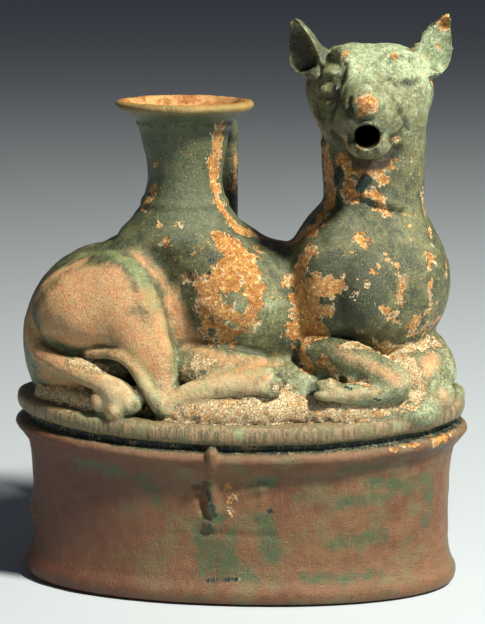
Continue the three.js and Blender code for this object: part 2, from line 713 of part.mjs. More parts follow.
function solid({ points, triangles }) {
  const volume = triangles.reduce((sum, [a, b, c]) => {
    const [p, q, r] = [points[a], points[b], points[c]];
    return sum + p[0] * (q[1] * r[2] - q[2] * r[1]) + p[1] * (q[2] * r[0] - q[0] * r[2])
      + p[2] * (q[0] * r[1] - q[1] * r[0]);
  }, 0);
  const turnedOut = volume > 0 ? triangles : triangles.map(([a, b, c]) => [a, c, b]);
  return new wasm.Manifold(new wasm.Mesh({
    numProp: 3,
    vertProperties: new Float32Array(points.flat()),
    triVerts: new Uint32Array(turnedOut.flat()),
  }));
}

// The far side, the crown and the hidden ground are kept plainer than the
// near flank; the face and the paws are kept finest.
function care([x, y, z]) {
  let weight = 1;
  if (y > 6) weight *= 0.25;
  if (y < -12 && z > 128) weight *= 3;
  if (y < -16 && z < 76) weight *= 1.8;
  if (z < 54) weight *= 0.05;
  return weight;
}

const figureTrace = trace(figure, [-70.3, -35.1, 45.9], [70, 35.4, 171], figureCell);
const figureBody = thin(evened(figureTrace, figure, 2), figureTriangles, care);
figureBody.points = figureBody.points.map((p) => settled(p, figure, 0.2));
const chamberTrace = trace(chamber, [-66.2, -27.1, 41.6], [66, 27.5, 162], chamberCell);
const chamberBody = thin(evened(chamberTrace, chamber, 2), chamberTriangles);
const outside = solid(figureBody)
  .add(solid(skin(plinthProfile.map(([z, offset]) => ovalRing(offset, z, plinthSegments)))))
  .add(solid(turned(neckOutside, neckSegments)))
  .add(solid(strap()));
const plinthChamber = [[plinthFloor, -plinthChamberInset - 1.5], [plinthFloor + 2.5, -plinthChamberInset],
  [plinthChamberTop - 3, -plinthChamberInset], [plinthChamberTop, -plinthChamberInset - 2.5]];
const hollow = solid(chamberBody)
  .add(solid(skin(plinthChamber.map(([z, offset]) => ovalRing(offset, z, plinthChamberSegments)))))
  .add(solid(turned(neckInside, neckSegments)))
  .add(solid(spout()));
const vessel = outside.subtract(hollow).getMesh();

const raw = { points: [], triangles: [] };
for (let i = 0; i < vessel.vertProperties.length; i += vessel.numProp) {
  raw.points.push([...vessel.vertProperties.slice(i, i + 3)]);
}
for (let i = 0; i < vessel.triVerts.length; i += 3) raw.triangles.push([...vessel.triVerts.slice(i, i + 3)]);

const geometry = new THREE.BufferGeometry();
geometry.setAttribute("position", new THREE.Float32BufferAttribute(raw.points.flat(), 3));
geometry.setIndex(raw.triangles.flat());
geometry.computeVertexNormals();
const glazedClay = new THREE.MeshStandardMaterial({ color: 0x8a8f66, roughness: 0.55, metalness: 0 });
glazedClay.name = "glazed_clay";
const askos = new THREE.Mesh(geometry, glazedClay);
askos.name = "askos";

const group = new THREE.Group();
group.name = "dog_askos";
group.add(askos);

export default group;
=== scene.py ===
# %% [markdown]
# # A dog-shaped askos in worn green lead glaze
# The vessel is one piece of fired clay: a dog lies on an oval plinth, a filling
# neck stands on its back, and the mouth pours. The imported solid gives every
# main form and the hollow. This script gives the fired surface: the soft
# modelling of the limbs and face, the glaze, its losses and the deposits.

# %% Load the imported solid
import math
import bpy
import bmesh
import numpy as np
from mathutils import Matrix, Vector, noise
from mathutils.bvhtree import BVHTree


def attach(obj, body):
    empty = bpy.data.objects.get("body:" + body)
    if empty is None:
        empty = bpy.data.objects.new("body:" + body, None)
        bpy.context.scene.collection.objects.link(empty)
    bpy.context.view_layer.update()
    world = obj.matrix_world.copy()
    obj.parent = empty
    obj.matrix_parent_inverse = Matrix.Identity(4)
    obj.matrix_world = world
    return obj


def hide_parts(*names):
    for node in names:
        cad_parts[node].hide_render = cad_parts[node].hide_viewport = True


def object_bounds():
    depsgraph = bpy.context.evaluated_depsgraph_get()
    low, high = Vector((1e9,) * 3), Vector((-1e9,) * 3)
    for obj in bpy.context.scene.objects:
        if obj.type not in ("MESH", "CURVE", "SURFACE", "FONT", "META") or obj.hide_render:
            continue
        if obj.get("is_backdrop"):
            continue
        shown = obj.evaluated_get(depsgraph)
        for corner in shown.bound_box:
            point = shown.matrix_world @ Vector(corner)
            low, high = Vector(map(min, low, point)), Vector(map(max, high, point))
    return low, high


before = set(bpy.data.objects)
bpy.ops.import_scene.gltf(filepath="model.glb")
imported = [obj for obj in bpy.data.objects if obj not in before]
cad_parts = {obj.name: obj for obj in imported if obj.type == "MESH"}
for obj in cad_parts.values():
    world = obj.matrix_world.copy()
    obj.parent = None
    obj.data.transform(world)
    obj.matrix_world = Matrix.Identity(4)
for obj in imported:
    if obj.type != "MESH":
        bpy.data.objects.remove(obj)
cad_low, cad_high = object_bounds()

print("solid spans", [round(v, 4) for v in cad_low], [round(v, 4) for v in cad_high])

# %% [markdown]
# ## Where the viewer stands
# The photograph was taken a little above the rim, about half a metre away. The
# camera comes first, so that every later choice can be judged from there. A
# long lens held level would straighten the plinth's rings too much, so the
# camera looks down onto the middle of the figure.

# %% Camera
MM = 0.001
PICTURE_WIDE, PICTURE_HIGH = 485, 624
FOCAL_PIXELS = 1873
SENSOR_HIGH = 36.0
view_from = Vector((33.47, -538.99, 187.8)) * MM
view_to = Vector((0.5, 0.0, 80.0)) * MM
view_roll = math.radians(0.3)
camera_data = bpy.data.cameras.new("studio_camera")
camera_data.sensor_fit = "VERTICAL"
camera_data.sensor_height = SENSOR_HIGH
camera_data.lens = FOCAL_PIXELS / PICTURE_HIGH * SENSOR_HIGH
camera = bpy.data.objects.new("studio_camera", camera_data)
bpy.context.scene.collection.objects.link(camera)
view_turn = (view_to - view_from).to_track_quat("-Z", "Y").to_matrix().to_4x4()
view_turn = view_turn @ Matrix.Rotation(view_roll, 4, "Z")
camera.matrix_world = Matrix.Translation(view_from) @ view_turn
bpy.context.scene.camera = camera
bpy.context.scene.view_settings.view_transform = "Standard"
print("lens", round(camera_data.lens, 1), "mm")

# %% [markdown]
# ## The modelled form as a distance
# A mould-made animal has soft forms that run into each other. Meshes joined
# edge to edge would show seams, so each form is a distance function here: an
# egg, a tapered limb or a turned profile. Two distances join softly, as wet
# clay does, and a dense skin is later drawn onto the surface where the distance
# is nought. All sizes are millimetres.

# %% Distance helpers
def join(a, b, k):
    h = np.maximum(k - np.abs(a - b), 0) / k
    return np.minimum(a, b) - h * h * k * 0.25


def meet(a, b, k):
    return -join(-a, -b, k)


def ease(low, high, value):
    t = np.clip((value - low) / (high - low), 0, 1)
    return t * t * (3 - 2 * t)


def smooth_path(knots, parts=3):
    """A Hermite curve through the knots, as the rows of a limb."""
    knots = np.array(knots, float)
    rows = [knots[0]]
    for i in range(len(knots) - 1):
        a, b, c, d = (knots[min(max(j, 0), len(knots) - 1)] for j in range(i - 1, i + 3))
        for n in range(1, parts + 1):
            t = n / parts
            rows.append((2 * t**3 - 3 * t * t + 1) * b + (t**3 - 2 * t * t + t) * (c - a) / 2
                        + (3 * t * t - 2 * t**3) * c + (t**3 - t * t) * (d - b) / 2)
    return np.array(rows)


def profile(rows, z):
    """Radius at height z of a smooth curve through rows of height and radius."""
    rows = np.array(rows, float)
    zs, rs = rows[:, 0], rows[:, 1]
    slopes = np.zeros(len(rs))
    slopes[1:-1] = (rs[2:] - rs[:-2]) / (zs[2:] - zs[:-2])
    slopes[0] = (rs[1] - rs[0]) / (zs[1] - zs[0])
    slopes[-1] = (rs[-1] - rs[-2]) / (zs[-1] - zs[-2])
    z = np.clip(z, zs[0], zs[-1])
    i = np.clip(np.searchsorted(zs, z, side="right") - 1, 0, len(zs) - 2)
    span = zs[i + 1] - zs[i]
    t = (z - zs[i]) / span
    return ((2 * t**3 - 3 * t * t + 1) * rs[i] + (t**3 - 2 * t * t + t) * slopes[i] * span
            + (3 * t * t - 2 * t**3) * rs[i + 1] + (t**3 - t * t) * slopes[i + 1] * span)


def egg(p, middle, radii, tip=0.0):
    """Distance to an ellipsoid whose +X end is raised by tip degrees."""
    q = p - np.array(middle)
    if tip:
        c, s = math.cos(math.radians(tip)), math.sin(math.radians(tip))
        q = np.stack([q[:, 0] * c + q[:, 2] * s, q[:, 1], q[:, 2] * c - q[:, 0] * s], 1)
    r = np.array(radii)
    k0 = np.linalg.norm(q / r, axis=1)
    k1 = np.linalg.norm(q / (r * r), axis=1)
    return k0 * (k0 - 1) / np.maximum(k1, 1e-9)


def limb(p, knots):
    """Distance to the hull of a ball that runs along the knots."""
    best = np.full(len(p), 1e9)
    near = np.min(np.linalg.norm(p[:, None, :] - knots[None, ::2, :3], axis=2), axis=1)
    pick = near < 16 + knots[:, 3].max()
    best[~pick] = near[~pick] - knots[:, 3].max()
    q = p[pick]
    found = np.full(len(q), 1e9)
    for a, b in zip(knots[:-1], knots[1:]):
        axis = b[:3] - a[:3]
        size = axis @ axis
        taper = a[3] - b[3]
        r = q - a[:3]
        along = r @ axis
        past = along - size
        aside = ((r * size - along[:, None] * axis) ** 2).sum(1)
        slope = size - taper * taper
        k = np.sign(taper) * taper * taper * aside
        end = np.sqrt(aside + past * past * size) / size - b[3]
        start = np.sqrt(aside + along * along * size) / size - a[3]
        side = (np.sqrt(aside * slope / size) + along * taper) / size - a[3]
        at_end = np.sign(past) * slope * past * past * size > k
        at_start = np.sign(along) * slope * along * along * size < k
        found = np.minimum(found, np.where(at_end, end, np.where(at_start, start, side)))
    best[pick] = found
    return best


def relief(p, knots, share=0.6):
    """A limb with a slimmer web of clay behind it, back to the middle."""
    web = np.full(len(p), 1e9)
    for a, b in zip(knots[:-1], knots[1:]):
        run = b - a
        along = (p[:, 0] - a[0]) * run[0] + (p[:, 2] - a[2]) * run[2]
        t = np.clip(along / (run[0] ** 2 + run[2] ** 2), 0, 1)
        front = np.maximum(a[1] + run[1] * t - p[:, 1], 0)
        reach = np.sqrt((p[:, 0] - a[0] - run[0] * t) ** 2 + front ** 2 + (p[:, 2] - a[2] - run[2] * t) ** 2)
        web = np.minimum(web, reach - share * (a[3] + run[3] * t))
    return join(limb(p, knots), np.maximum(web, p[:, 1]), 0.8)


print("helpers ready")

# %% [markdown]
# ## Trunk and haunches
# The trunk is a rump, a barrel and a deep chest. On the real vessel both
# flanks come from moulds, so the far flank repeats the near one. The haunch
# stands proud with a crisp front edge, which a small join width keeps.

# %% Trunk, ground and thigh
def trunk(p):
    q = np.stack([p[:, 0], -np.abs(p[:, 1]), p[:, 2]], 1)
    d = egg(q, (-37.5, 0, 71), (27, 20, 29.3))
    d = join(d, egg(q, (0, 0, 80), (38, 19, 22.3)), 8)
    d = join(d, egg(q, (-1.5, -7, 86.5), (17, 16.5, 16.5)), 3)
    d = join(d, egg(q, (38, 0, 90), (23, 21, 24)), 6)
    d = join(d, egg(q, (29, -6, 91), (15, 16.5, 22)), 3)
    return join(d, egg(q, (35.3, -11, 89.5), (10.6, 14.4, 14.6), 6), 0.9)


def ground(p):
    k0 = np.hypot(p[:, 0] / 59, p[:, 1] / 25.5)
    k1 = np.hypot(p[:, 0] / 3481, p[:, 1] / 650)
    side = k0 * (k0 - 1) / np.maximum(k1, 1e-9) + np.maximum(p[:, 2] - 54.5, 0) * 0.45
    return meet(side, p[:, 2] - 65.5, 7)


def packing(p):
    """Clay pressed into the pockets between the limbs, as the mould leaves it."""
    q = np.stack([p[:, 0], -np.abs(p[:, 1]), p[:, 2]], 1)
    d = egg(q, (-7, -13.5, 67.4), (15, 11.6, 7.0))
    d = join(d, egg(q, (15, -9, 61), (20, 15.5, 9.5)), 3)
    d = join(d, egg(q, (34, -16, 66.6), (12.5, 9.2, 4.8)), 2)
    d = join(d, egg(q, (50, -15, 55.5), (8.5, 8.6, 6.2)), 2)
    d = join(d, egg(q, (1, -18.5, 56), (20, 8.6, 5.4)), 2)
    d = join(d, egg(q, (36, -17.5, 55.5), (17, 7.6, 5)), 2)
    return np.minimum(d, egg(q, (-43, -13.4, 67.2), (14, 9.8, 5.2)))


thigh_root = smooth_path([(-32, -14.5, 84, 11.5), (-27, -17.5, 74, 9.2), (-21.4, -20.3, 64, 5.6),
                          (-19.6, -22.2, 58.6, 4.2)])


def thigh(p):
    d = egg(p, (-40.5, -9.5, 83.2), (20.5, 16.8, 14.6), 14)
    d = join(d, egg(p, (-32.6, -11, 88), (11.6, 14.6, 13.6)), 5)
    return join(d, limb(p, thigh_root), 3)


print("trunk ready")

# %% [markdown]
# ## Legs and tail
# The hind foot lies along the plinth, the tail curls round the haunch and ends
# in a lobed tuft, and the near foreleg is folded back under itself.

# %% Legs and tail
shin = smooth_path([(-42, -21.5, 71.6, 1.5), (-33.5, -24.4, 71.9, 1.6), (-28.6, -25.6, 68.6, 1.7),
                    (-24.6, -26, 61.6, 2.1), (-20.2, -25.6, 57.2, 3.0)])
sole = smooth_path([(-20.2, -25.4, 57.2, 3.0), (-14, -25.4, 60.4, 3.3), (-6, -25.4, 63.2, 3.8),
                    (2, -25.2, 64.7, 4.4), (7, -25.2, 65, 4.4)])
fold = smooth_path([(-16, -19.4, 71.6, 1.7), (-4, -20.6, 71.2, 1.9), (7, -19.8, 69.6, 1.7)])
hind_toes = [(9.6, -27.8, 62.8), (10.4, -26.8, 65.4), (8.8, -24.6, 67.6)]


def hind_foot(p):
    d = join(relief(p, shin), relief(p, sole), 1.2)
    for toe in hind_toes:
        d = join(d, egg(p, toe, (3.3, 2.2, 1.8)), 0.5)
    return join(d, relief(p, fold), 4)


tail_path = smooth_path([(-53.6, -7.5, 88.6, 3), (-57, -10, 82.6, 3.3), (-58.6, -12.4, 76.2, 3.4),
                         (-56.8, -15.4, 71.3, 3.4), (-52.4, -18.9, 68.7, 3.2), (-44, -22.2, 65.7, 3),
                         (-36, -24.8, 63, 2.9), (-31.4, -26, 61.2, 2.9)])
tuft = [(-29.8, -26, 58.6, 3.9), (-33.6, -26, 56.4, 3.6), (-38, -24.4, 58.3, 3.6), (-34, -25.4, 61, 4.2)]


def tail(p):
    d = relief(p, tail_path)
    for x, y, z, r in tuft:
        d = join(d, egg(p, (x, y, z), (r, r * 0.9, r * 0.95)), 1.1)
    return d


forearm = smooth_path([(22.5, -16, 72, 5.4), (28.5, -19.6, 72, 5.2), (34, -21.6, 70.8, 4.7),
                       (40.4, -22.6, 68, 4.5), (45.4, -22.4, 64.9, 4.7)])
fore_paw = smooth_path([(45.4, -22.4, 63.4, 4.2), (40, -24.4, 62.4, 3.4), (33, -26, 62.1, 2.9),
                        (27.6, -26.8, 62.8, 2.6)])


def foreleg(p):
    d = relief(p, fore_paw)
    for toe in ((25.6, -27.4, 62), (26, -26.4, 64.7)):
        d = join(d, egg(p, toe, (3.4, 2.4, 1.7)), 0.5)
    return join(relief(p, forearm), d, 0.6)


hind_bed = smooth_path([(-17, -24.5, 55.0, 3.6), (-6, -25.5, 56, 4.4), (7, -25.5, 57, 4.6),
                        (14, -24, 57.4, 4.2), (20, -23.5, 57, 3.6)])
fore_bed = smooth_path([(17, -23.5, 56.4, 3.6), (32, -23.0, 56.8, 4.2), (44, -19.5, 57.4, 4.2),
                        (51, -15, 58.8, 3.8)])
tail_bed = smooth_path([(-56, -10, 56.5, 3.4), (-48, -15.0, 56.8, 3.8), (-41, -19, 56.6, 3.6)])


def beds(p):
    """Crust that the limbs lie in, on top of the plinth."""
    return np.minimum(np.minimum(limb(p, hind_bed), limb(p, fore_bed)), limb(p, tail_bed))


far_arm = smooth_path([(44, 0, 73, 9), (54.5, -4.5, 70, 6.2), (58, -9, 65, 5.2)])


def far_foreleg(p):
    d = join(limb(p, far_arm), egg(p, (49.5, -9, 64), (8, 11, 9)), 3)
    d = join(d, egg(p, (57.6, -12.6, 59.4), (5.1, 5.4, 4.8)), 1)
    return join(d, egg(p, (62.6, -3.2, 57.4), (3.6, 4.2, 3.4)), 1.4)


print("limbs ready")

# %% [markdown]
# ## Head
# The head is turned to the viewer: a flat skull, a round muzzle with the
# pouring hole under the nose, half-closed eyes under soft brows, and pricked
# ears hollowed in front. Each ear is a leaf with a bowl cut from its front.

# %% Head and ears
throat = smooth_path([(39.4, 1, 98, 15), (38.6, 1, 110, 14.4), (38.2, 1, 122, 14.8), (37.8, 0, 133, 15)])
muzzle = smooth_path([(36.5, -10, 143.4, 9.6), (36.2, -18, 141.4, 8), (36.1, -24.5, 140, 6.1)])
brow_left = smooth_path([(26.6, -8.4, 157, 1.3), (29.8, -11.2, 155.8, 1.9), (31.2, -14.2, 150.8, 1.4)])
brow_right = smooth_path([(39.8, -13.4, 153.4, 1.1), (42.6, -10.8, 156.2, 1.3), (47.2, -9.0, 155.8, 1.0),
                          (50, -7.0, 153, 0.8)])
lips = smooth_path([(30.4, -25, 134.2, 0.8), (36, -28, 134.8, 0.8), (42.8, -25, 135.2, 0.9)])


def head(p):
    d = limb(p, throat)
    d = join(d, egg(p, (31.8, 0, 145.6), (13.4, 15, 13.0)), 3)
    d = join(d, egg(p, (42.2, 0, 145.6), (12.6, 15, 13.0)), 3)
    d = join(d, egg(p, (37.1, -4.6, 139.6), (15.8, 13.4, 13.0)), 1.6)
    d = join(d, limb(p, muzzle), 5)
    d = join(d, egg(p, (36, -28.4, 143.6), (4.6, 3.6, 3.4)), 1.4)
    d = join(d, egg(p, (39.2, -26.6, 139.9), (3.3, 3.6, 3.2)), 1)
    d = join(d, egg(p, (32.8, -26.4, 139.7), (3.1, 3.4, 3.2)), 1)
    d = join(d, egg(p, (36.4, -21.6, 132.2), (6.2, 7.2, 4.2)), 2)
    d = join(d, egg(p, (25.8, -11.2, 150.6), (3.3, 2.4, 2.3)), 1.2)
    d = join(d, egg(p, (25.6, -11.6, 145.6), (3.0, 2.0, 2.0)), 1.2)
    d = join(d, egg(p, (46.4, -11.6, 150.2), (3.5, 2.1, 2.1), -10), 2)
    d = join(d, np.minimum(limb(p, brow_left), limb(p, brow_right)), 2.6)
    return meet(d, -limb(p, lips), 0.7)


def ear(p, root, tip, turn_degrees):
    root, tip = np.array(root), np.array(tip)
    length = np.linalg.norm(tip - root)
    a = (tip - root) / length
    level = math.hypot(a[0], a[2])
    across = np.array([a[2] / level, 0, -a[0] / level])
    through = np.array([-a[1] * across[2], a[0] * across[2] - a[2] * across[0], a[1] * across[0]])
    q = p - root
    along, b, c = q @ a, q @ across, q @ through
    s, k = math.sin(math.radians(turn_degrees)), math.cos(math.radians(turn_degrees))
    v, w = b * k + c * s, c * k - b * s
    u = np.clip(along / length, 0, 1)
    full = np.where(v * np.sign(turn_degrees) < 0, 8.4, 5.8)
    half = full * (1 - u) ** 0.62 * (0.62 + 0.3 * ease(0, 0.25, u) + 0.7 * u * (1 - u)) + 0.8
    deep = 4.8 + (1.5 - 4.8) * u ** 0.8
    thin = np.minimum(half, deep)
    leaf = (np.hypot(v / half, w / deep) - 1) * thin
    shell = np.maximum(leaf, np.abs(along - length * u) - 0.2)
    bowl = (np.hypot(v / np.maximum(half - 1.6, 0.2), (w - deep * 1.2) / (deep * 1.15)) - 1) * thin
    cut = np.maximum(np.maximum(bowl, 1.6 - along), along - length * 0.88)
    return meet(shell, -cut, 1.0)


def ears(p):
    return np.minimum(ear(p, (21.2, -3.2, 150.6), (14.9, -4.6, 167.1), 28),
                      ear(p, (51.6, -3.0, 151.0), (58.2, -4.2, 168.0), -24))


print("head ready")

# %% [markdown]
# ## Plinth, filling neck and handle
# These are the plain parts of the vessel. The plinth is an oval box with a
# foot, a lower moulding, a deep groove and an upper band, and the neck was
# turned. Their profiles are the solid's own.

# %% Plinth, neck and strap
PLINTH_X, PLINTH_Y, SQUARENESS = 62.3, 28.4, 2.12
plinth_rows = [(0, 0.7), (0.9, 2.1), (3.8, 2.6), (7.5, 1.0), (14, 0), (30, 0), (38, 0.9), (41.2, 3.2),
               (43.4, 4.8), (45.2, 3.6), (46.2, 1.5), (47.3, 1.7), (48.6, 3.6), (51.8, 4.0), (53.2, 2.9)]
NECK_X = -16.5
neck_rows = [(110.6, 10.6), (112.2, 12.75), (115.0, 11.55), (119.3, 10.85), (124.5, 11.2), (129.7, 12.2),
             (134.0, 13.1), (135.2, 13.9), (136.6, 14.1), (138.4, 17.6), (139.9, 19.7), (141.1, 20.0),
             (142.0, 19.3)]
channel_rows = [(89.0, 8.2), (104.0, 8.2), (119.0, 6.9), (127.0, 7.6), (134.0, 9.6), (138.6, 13.6),
                (141.0, 16.6), (142.6, 17.6)]
spread_rows = [(84, 2), (94, 14), (101, 18.3), (104.2, 18.6), (106.8, 16.4), (109.4, 14.4), (111.2, 13.1),
               (112.6, 12.45), (113.6, 11.9), (115, 9)]
handle_knots = [(11.0, 131.6), (17.5, 133.8), (21.4, 133.0), (24.4, 130.4), (26.0, 126.0), (26.3, 117.0),
                (26.0, 107.0), (24.6, 98.0), (21.5, 90.0), (17.5, 84.5)]
SPOUT_X, SPOUT_Z, SPOUT_W, SPOUT_H = 36.0, 134.9, 3.3, 2.8


def plinth(p):
    x, y, z = p[:, 0], p[:, 1], p[:, 2]
    height = z - 3.0 * (x / PLINTH_X) ** 2 * ease(25, 44, z)
    out = profile(plinth_rows, height)
    a, b = PLINTH_X + out, PLINTH_Y + out
    n = SQUARENESS
    ux, uy = np.abs(x / a), np.abs(y / b)
    k = (ux**n + uy**n) ** (1 / n)
    slope = np.hypot(ux ** (n - 1) / a, uy ** (n - 1) / b) / np.maximum(k, 1e-6) ** (n - 1)
    side = (k - 1) / np.maximum(slope, 1e-3)
    return meet(meet(side, height - 53.2, 0.8), -z, 0.4)


def neck(p):
    d = (np.hypot(p[:, 0] - NECK_X, p[:, 1]) - profile(neck_rows, p[:, 2])) * 0.8
    return np.maximum(meet(d, p[:, 2] - 142, 0.6), 111.2 - p[:, 2])


def channel(p):
    return (np.hypot(p[:, 0] - NECK_X, p[:, 1]) - profile(channel_rows, p[:, 2])) * 0.8


def neck_spread(p):
    d = (np.hypot(p[:, 0] - NECK_X, p[:, 1]) - profile(spread_rows, p[:, 2])) * 0.8
    return np.maximum(d, p[:, 2] - 115)


def strap(p):
    s, c = math.sin(math.radians(15)), math.cos(math.radians(15))
    out = (p[:, 0] - NECK_X) * s + p[:, 1] * c
    across = (p[:, 0] - NECK_X) * c - p[:, 1] * s
    rows = smooth_path(handle_knots, 2)
    d = np.full(len(p), 1e9)
    for a, b in zip(rows[:-1], rows[1:]):
        run = b - a
        t = np.clip(((out - a[0]) * run[0] + (p[:, 2] - a[1]) * run[1]) / (run @ run), 0, 1)
        d = np.minimum(d, np.hypot(out - a[0] - run[0] * t, p[:, 2] - a[1] - run[1] * t))
    width = 7.2 * (1 + 0.16 * ease(126, 134, p[:, 2]))
    return np.hypot(np.maximum(np.abs(across) - width + 1.9, 0), np.maximum(d - 0.6, 0)) - 1.9


def pouring_hole(p):
    flare = 1 + 0.5 * np.clip((-24.5 - p[:, 1]) / 11.5, 0, 1)
    d = (np.hypot((p[:, 0] - SPOUT_X) / SPOUT_W, (p[:, 2] - SPOUT_Z) / SPOUT_H) - flare) * SPOUT_H
    return np.maximum(d, p[:, 1] + 6)


print("plinth, neck and strap ready")

# %% [markdown]
# ## One skin
# All the forms join in the order in which the clay was put together: figure,
# neck, strap, plinth. Then the channel and the pouring hole are taken out.

# %% The whole outside
def outside(p):
    far = p * np.array([1, -1, 1])
    d = join(join(trunk(p), ground(p), 3), packing(p), 2)
    d = join(d, thigh(p), 0.9)
    d = join(d, thigh(far), 1.5)
    d = join(d, np.minimum(hind_foot(p), hind_foot(far)), 1)
    d = join(d, tail(p), 1)
    d = join(d, np.minimum(foreleg(p), foreleg(far)), 1)
    d = join(d, far_foreleg(p), 1.6)
    d = join(d, np.minimum(beds(p), beds(far)), 1.2)
    d = join(d, head(p), 5)
    d = join(d, ears(p), 1.4)
    d = join(d, neck_spread(p), 6)
    d = join(d, neck(p), 0.8)
    d = join(d, strap(p), 1.8)
    d = np.maximum(d, 47.5 - p[:, 2])
    return join(d, plinth(p), 1.2)


def vessel_form(p):
    d = meet(outside(p), -channel(p), 0.5)
    return meet(d, -pouring_hole(p), 0.6)


def slope_of(form, p, d, e=0.05):
    return np.stack([(form(p + e * np.eye(3)[i]) - d) / e for i in range(3)], 1)


print("skin ready")

# %% [markdown]
# ## A dense mesh from the solid
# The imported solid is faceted. A voxel remesh of its merged copy gives even
# small quads everywhere, and each point then moves onto the form. The limbs lie
# in a bed of crust, not over a gap. Balls along each bed are added first,
# because the remesh melts all that overlaps into one volume, and any small
# pocket that it seals in is deleted. The inside of the chambers is never seen,
# so its points stay where they are and are thinned afterwards.

# %% Remesh the merged copy
BED_INSET = 0.2
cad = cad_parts["askos"]
draft = bpy.data.meshes.new("vessel_draft")
bm = bmesh.new()
bm.from_mesh(cad.data)
bmesh.ops.remove_doubles(bm, verts=bm.verts, dist=1e-6)
solid = BVHTree.FromBMesh(bm)
for x, y, z, r in np.concatenate([hind_bed, fore_bed, tail_bed]):
    for place in (Vector((x, y, z)), Vector((x, -y, z))):
        at_place = Matrix.Translation(place * MM)
        bmesh.ops.create_icosphere(bm, subdivisions=2, radius=(r - BED_INSET) * MM, matrix=at_place)
bm.to_mesh(draft)
bm.free()
carrier = bpy.data.objects.new("vessel_draft", draft)
bpy.context.scene.collection.objects.link(carrier)
remesh = carrier.modifiers.new("even_skin", "REMESH")
remesh.mode = "VOXEL"
remesh.voxel_size = 0.9 * MM
remesh.adaptivity = 0.0


def baked(carrier):
    """The mesh of an object with its modifiers applied."""
    depsgraph = bpy.context.evaluated_depsgraph_get()
    mesh = bpy.data.meshes.new_from_object(carrier.evaluated_get(depsgraph))
    carrier.modifiers.clear()
    carrier.data = mesh
    return mesh


def loose_parts(bm):
    """Lists of vertices that hang together."""
    left, parts = set(bm.verts), []
    while left:
        part, front = [], [left.pop()]
        while front:
            vert = front.pop()
            part.append(vert)
            near = {edge.other_vert(vert) for edge in vert.link_edges} & left
            left -= near
            front.extend(near)
        parts.append(part)
    return sorted(parts, key=len)


skin = baked(carrier)
bm = bmesh.new()
bm.from_mesh(skin)
parts = loose_parts(bm)
bmesh.ops.delete(bm, geom=[vert for part in parts[:-1] for vert in part], context="VERTS")
bm.to_mesh(skin)
bm.free()
print("sealed pockets removed:", [len(part) for part in parts[:-1]])
print("even skin", len(skin.vertices), "points", len(skin.polygons), "faces")


# %% Draw the skin onto the form
def points_of(mesh):
    co = np.empty(len(mesh.vertices) * 3)
    mesh.vertices.foreach_get("co", co)
    return co.reshape(-1, 3) * 1000


def inner_points(p):
    """Points on the walls of the chambers, away from the two openings."""
    deep = outside(p) < -2.0
    in_neck = (np.hypot(p[:, 0] - NECK_X, p[:, 1]) < 22) & (p[:, 2] > 104)
    in_mouth = (p[:, 1] < -14) & (p[:, 2] > 128)
    return deep & ~in_neck & ~in_mouth


def drawn(p, rounds=3, reach=0.8):
    for _ in range(rounds):
        d = vessel_form(p)
        g = slope_of(vessel_form, p, d)
        steep = np.maximum((g * g).sum(1), 0.15)
        step = -(d / steep)[:, None] * g
        length = np.linalg.norm(step, axis=1, keepdims=True)
        p = p + step * np.minimum(1, reach / np.maximum(length, 1e-9))
    return p


def relaxed(mesh, p, free, rounds=2, share=0.5):
    """Moves the free points part of the way to the middle of their neighbours."""
    ends = np.empty(len(mesh.edges) * 2, int)
    mesh.edges.foreach_get("vertices", ends)
    ends = ends.reshape(-1, 2)
    count = np.bincount(ends.ravel(), minlength=len(p))[:, None]
    for _ in range(rounds):
        total = np.stack([np.bincount(ends[:, 0], p[ends[:, 1], k], len(p))
                          + np.bincount(ends[:, 1], p[ends[:, 0], k], len(p)) for k in range(3)], 1)
        p = np.where(free[:, None], p + share * (total / count - p), p)
    return p


at = points_of(skin)
inside = inner_points(at)
at[~inside] = drawn(at[~inside], 2)
at = relaxed(skin, at, ~inside)
at[~inside] = drawn(at[~inside], 2)
skin.vertices.foreach_set("co", (at * MM).ravel())
print("drawn", int((~inside).sum()), "outer points,", int(inside.sum()), "inner points kept")


# %% [markdown]
# ## Finer clay on the head, and a coarse inside
# The face carries the smallest modelling, so its faces are split once more and
# drawn again. The chambers are not seen, so their skin is thinned. The piece
# still has about 270,000 triangles, and most of them carry the outside.

# %% Split the head, thin the inside
def in_face(middle):
    x, y, z = middle * 1000
    return z > 120 and x > 10 and y < 6


bm = bmesh.new()
bm.from_mesh(skin)
finer = {edge for face in bm.faces for edge in face.edges
         if in_face(face.calc_center_median())}
bmesh.ops.subdivide_edges(bm, edges=list(finer), cuts=1, use_grid_fill=True)
bm.to_mesh(skin)
bm.free()
at = points_of(skin)
inside = inner_points(at)
head_free = ~inside & (at[:, 2] > 118) & (at[:, 0] > 8)
at = relaxed(skin, at, head_free)
ear_free = head_free & (at[:, 2] > 149) & (np.abs(at[:, 0] - 36.7) > 12)
at = relaxed(skin, at, ear_free, 5)
at[head_free] = drawn(at[head_free], 2, 0.4)
at = relaxed(skin, at, ear_free, 1)
at[ear_free] = drawn(at[ear_free], 3, 0.9)
at = relaxed(skin, at, ear_free, 2, 0.4)
skin.vertices.foreach_set("co", (at * MM).ravel())
group = carrier.vertex_groups.new(name="inside")
group.add([int(i) for i in np.flatnonzero(inside)], 1.0, "REPLACE")
faces_inside = sum(1 for face in skin.polygons if all(inside[i] for i in face.vertices))
thin = carrier.modifiers.new("thin_inside", "DECIMATE")
thin.ratio = 1 - 0.85 * faces_inside / len(skin.polygons)
thin.vertex_group = "inside"
skin = baked(carrier)
print("head split, inside thinned:", len(skin.vertices), "points,",
      sum(len(face.vertices) - 2 for face in skin.polygons), "triangles")


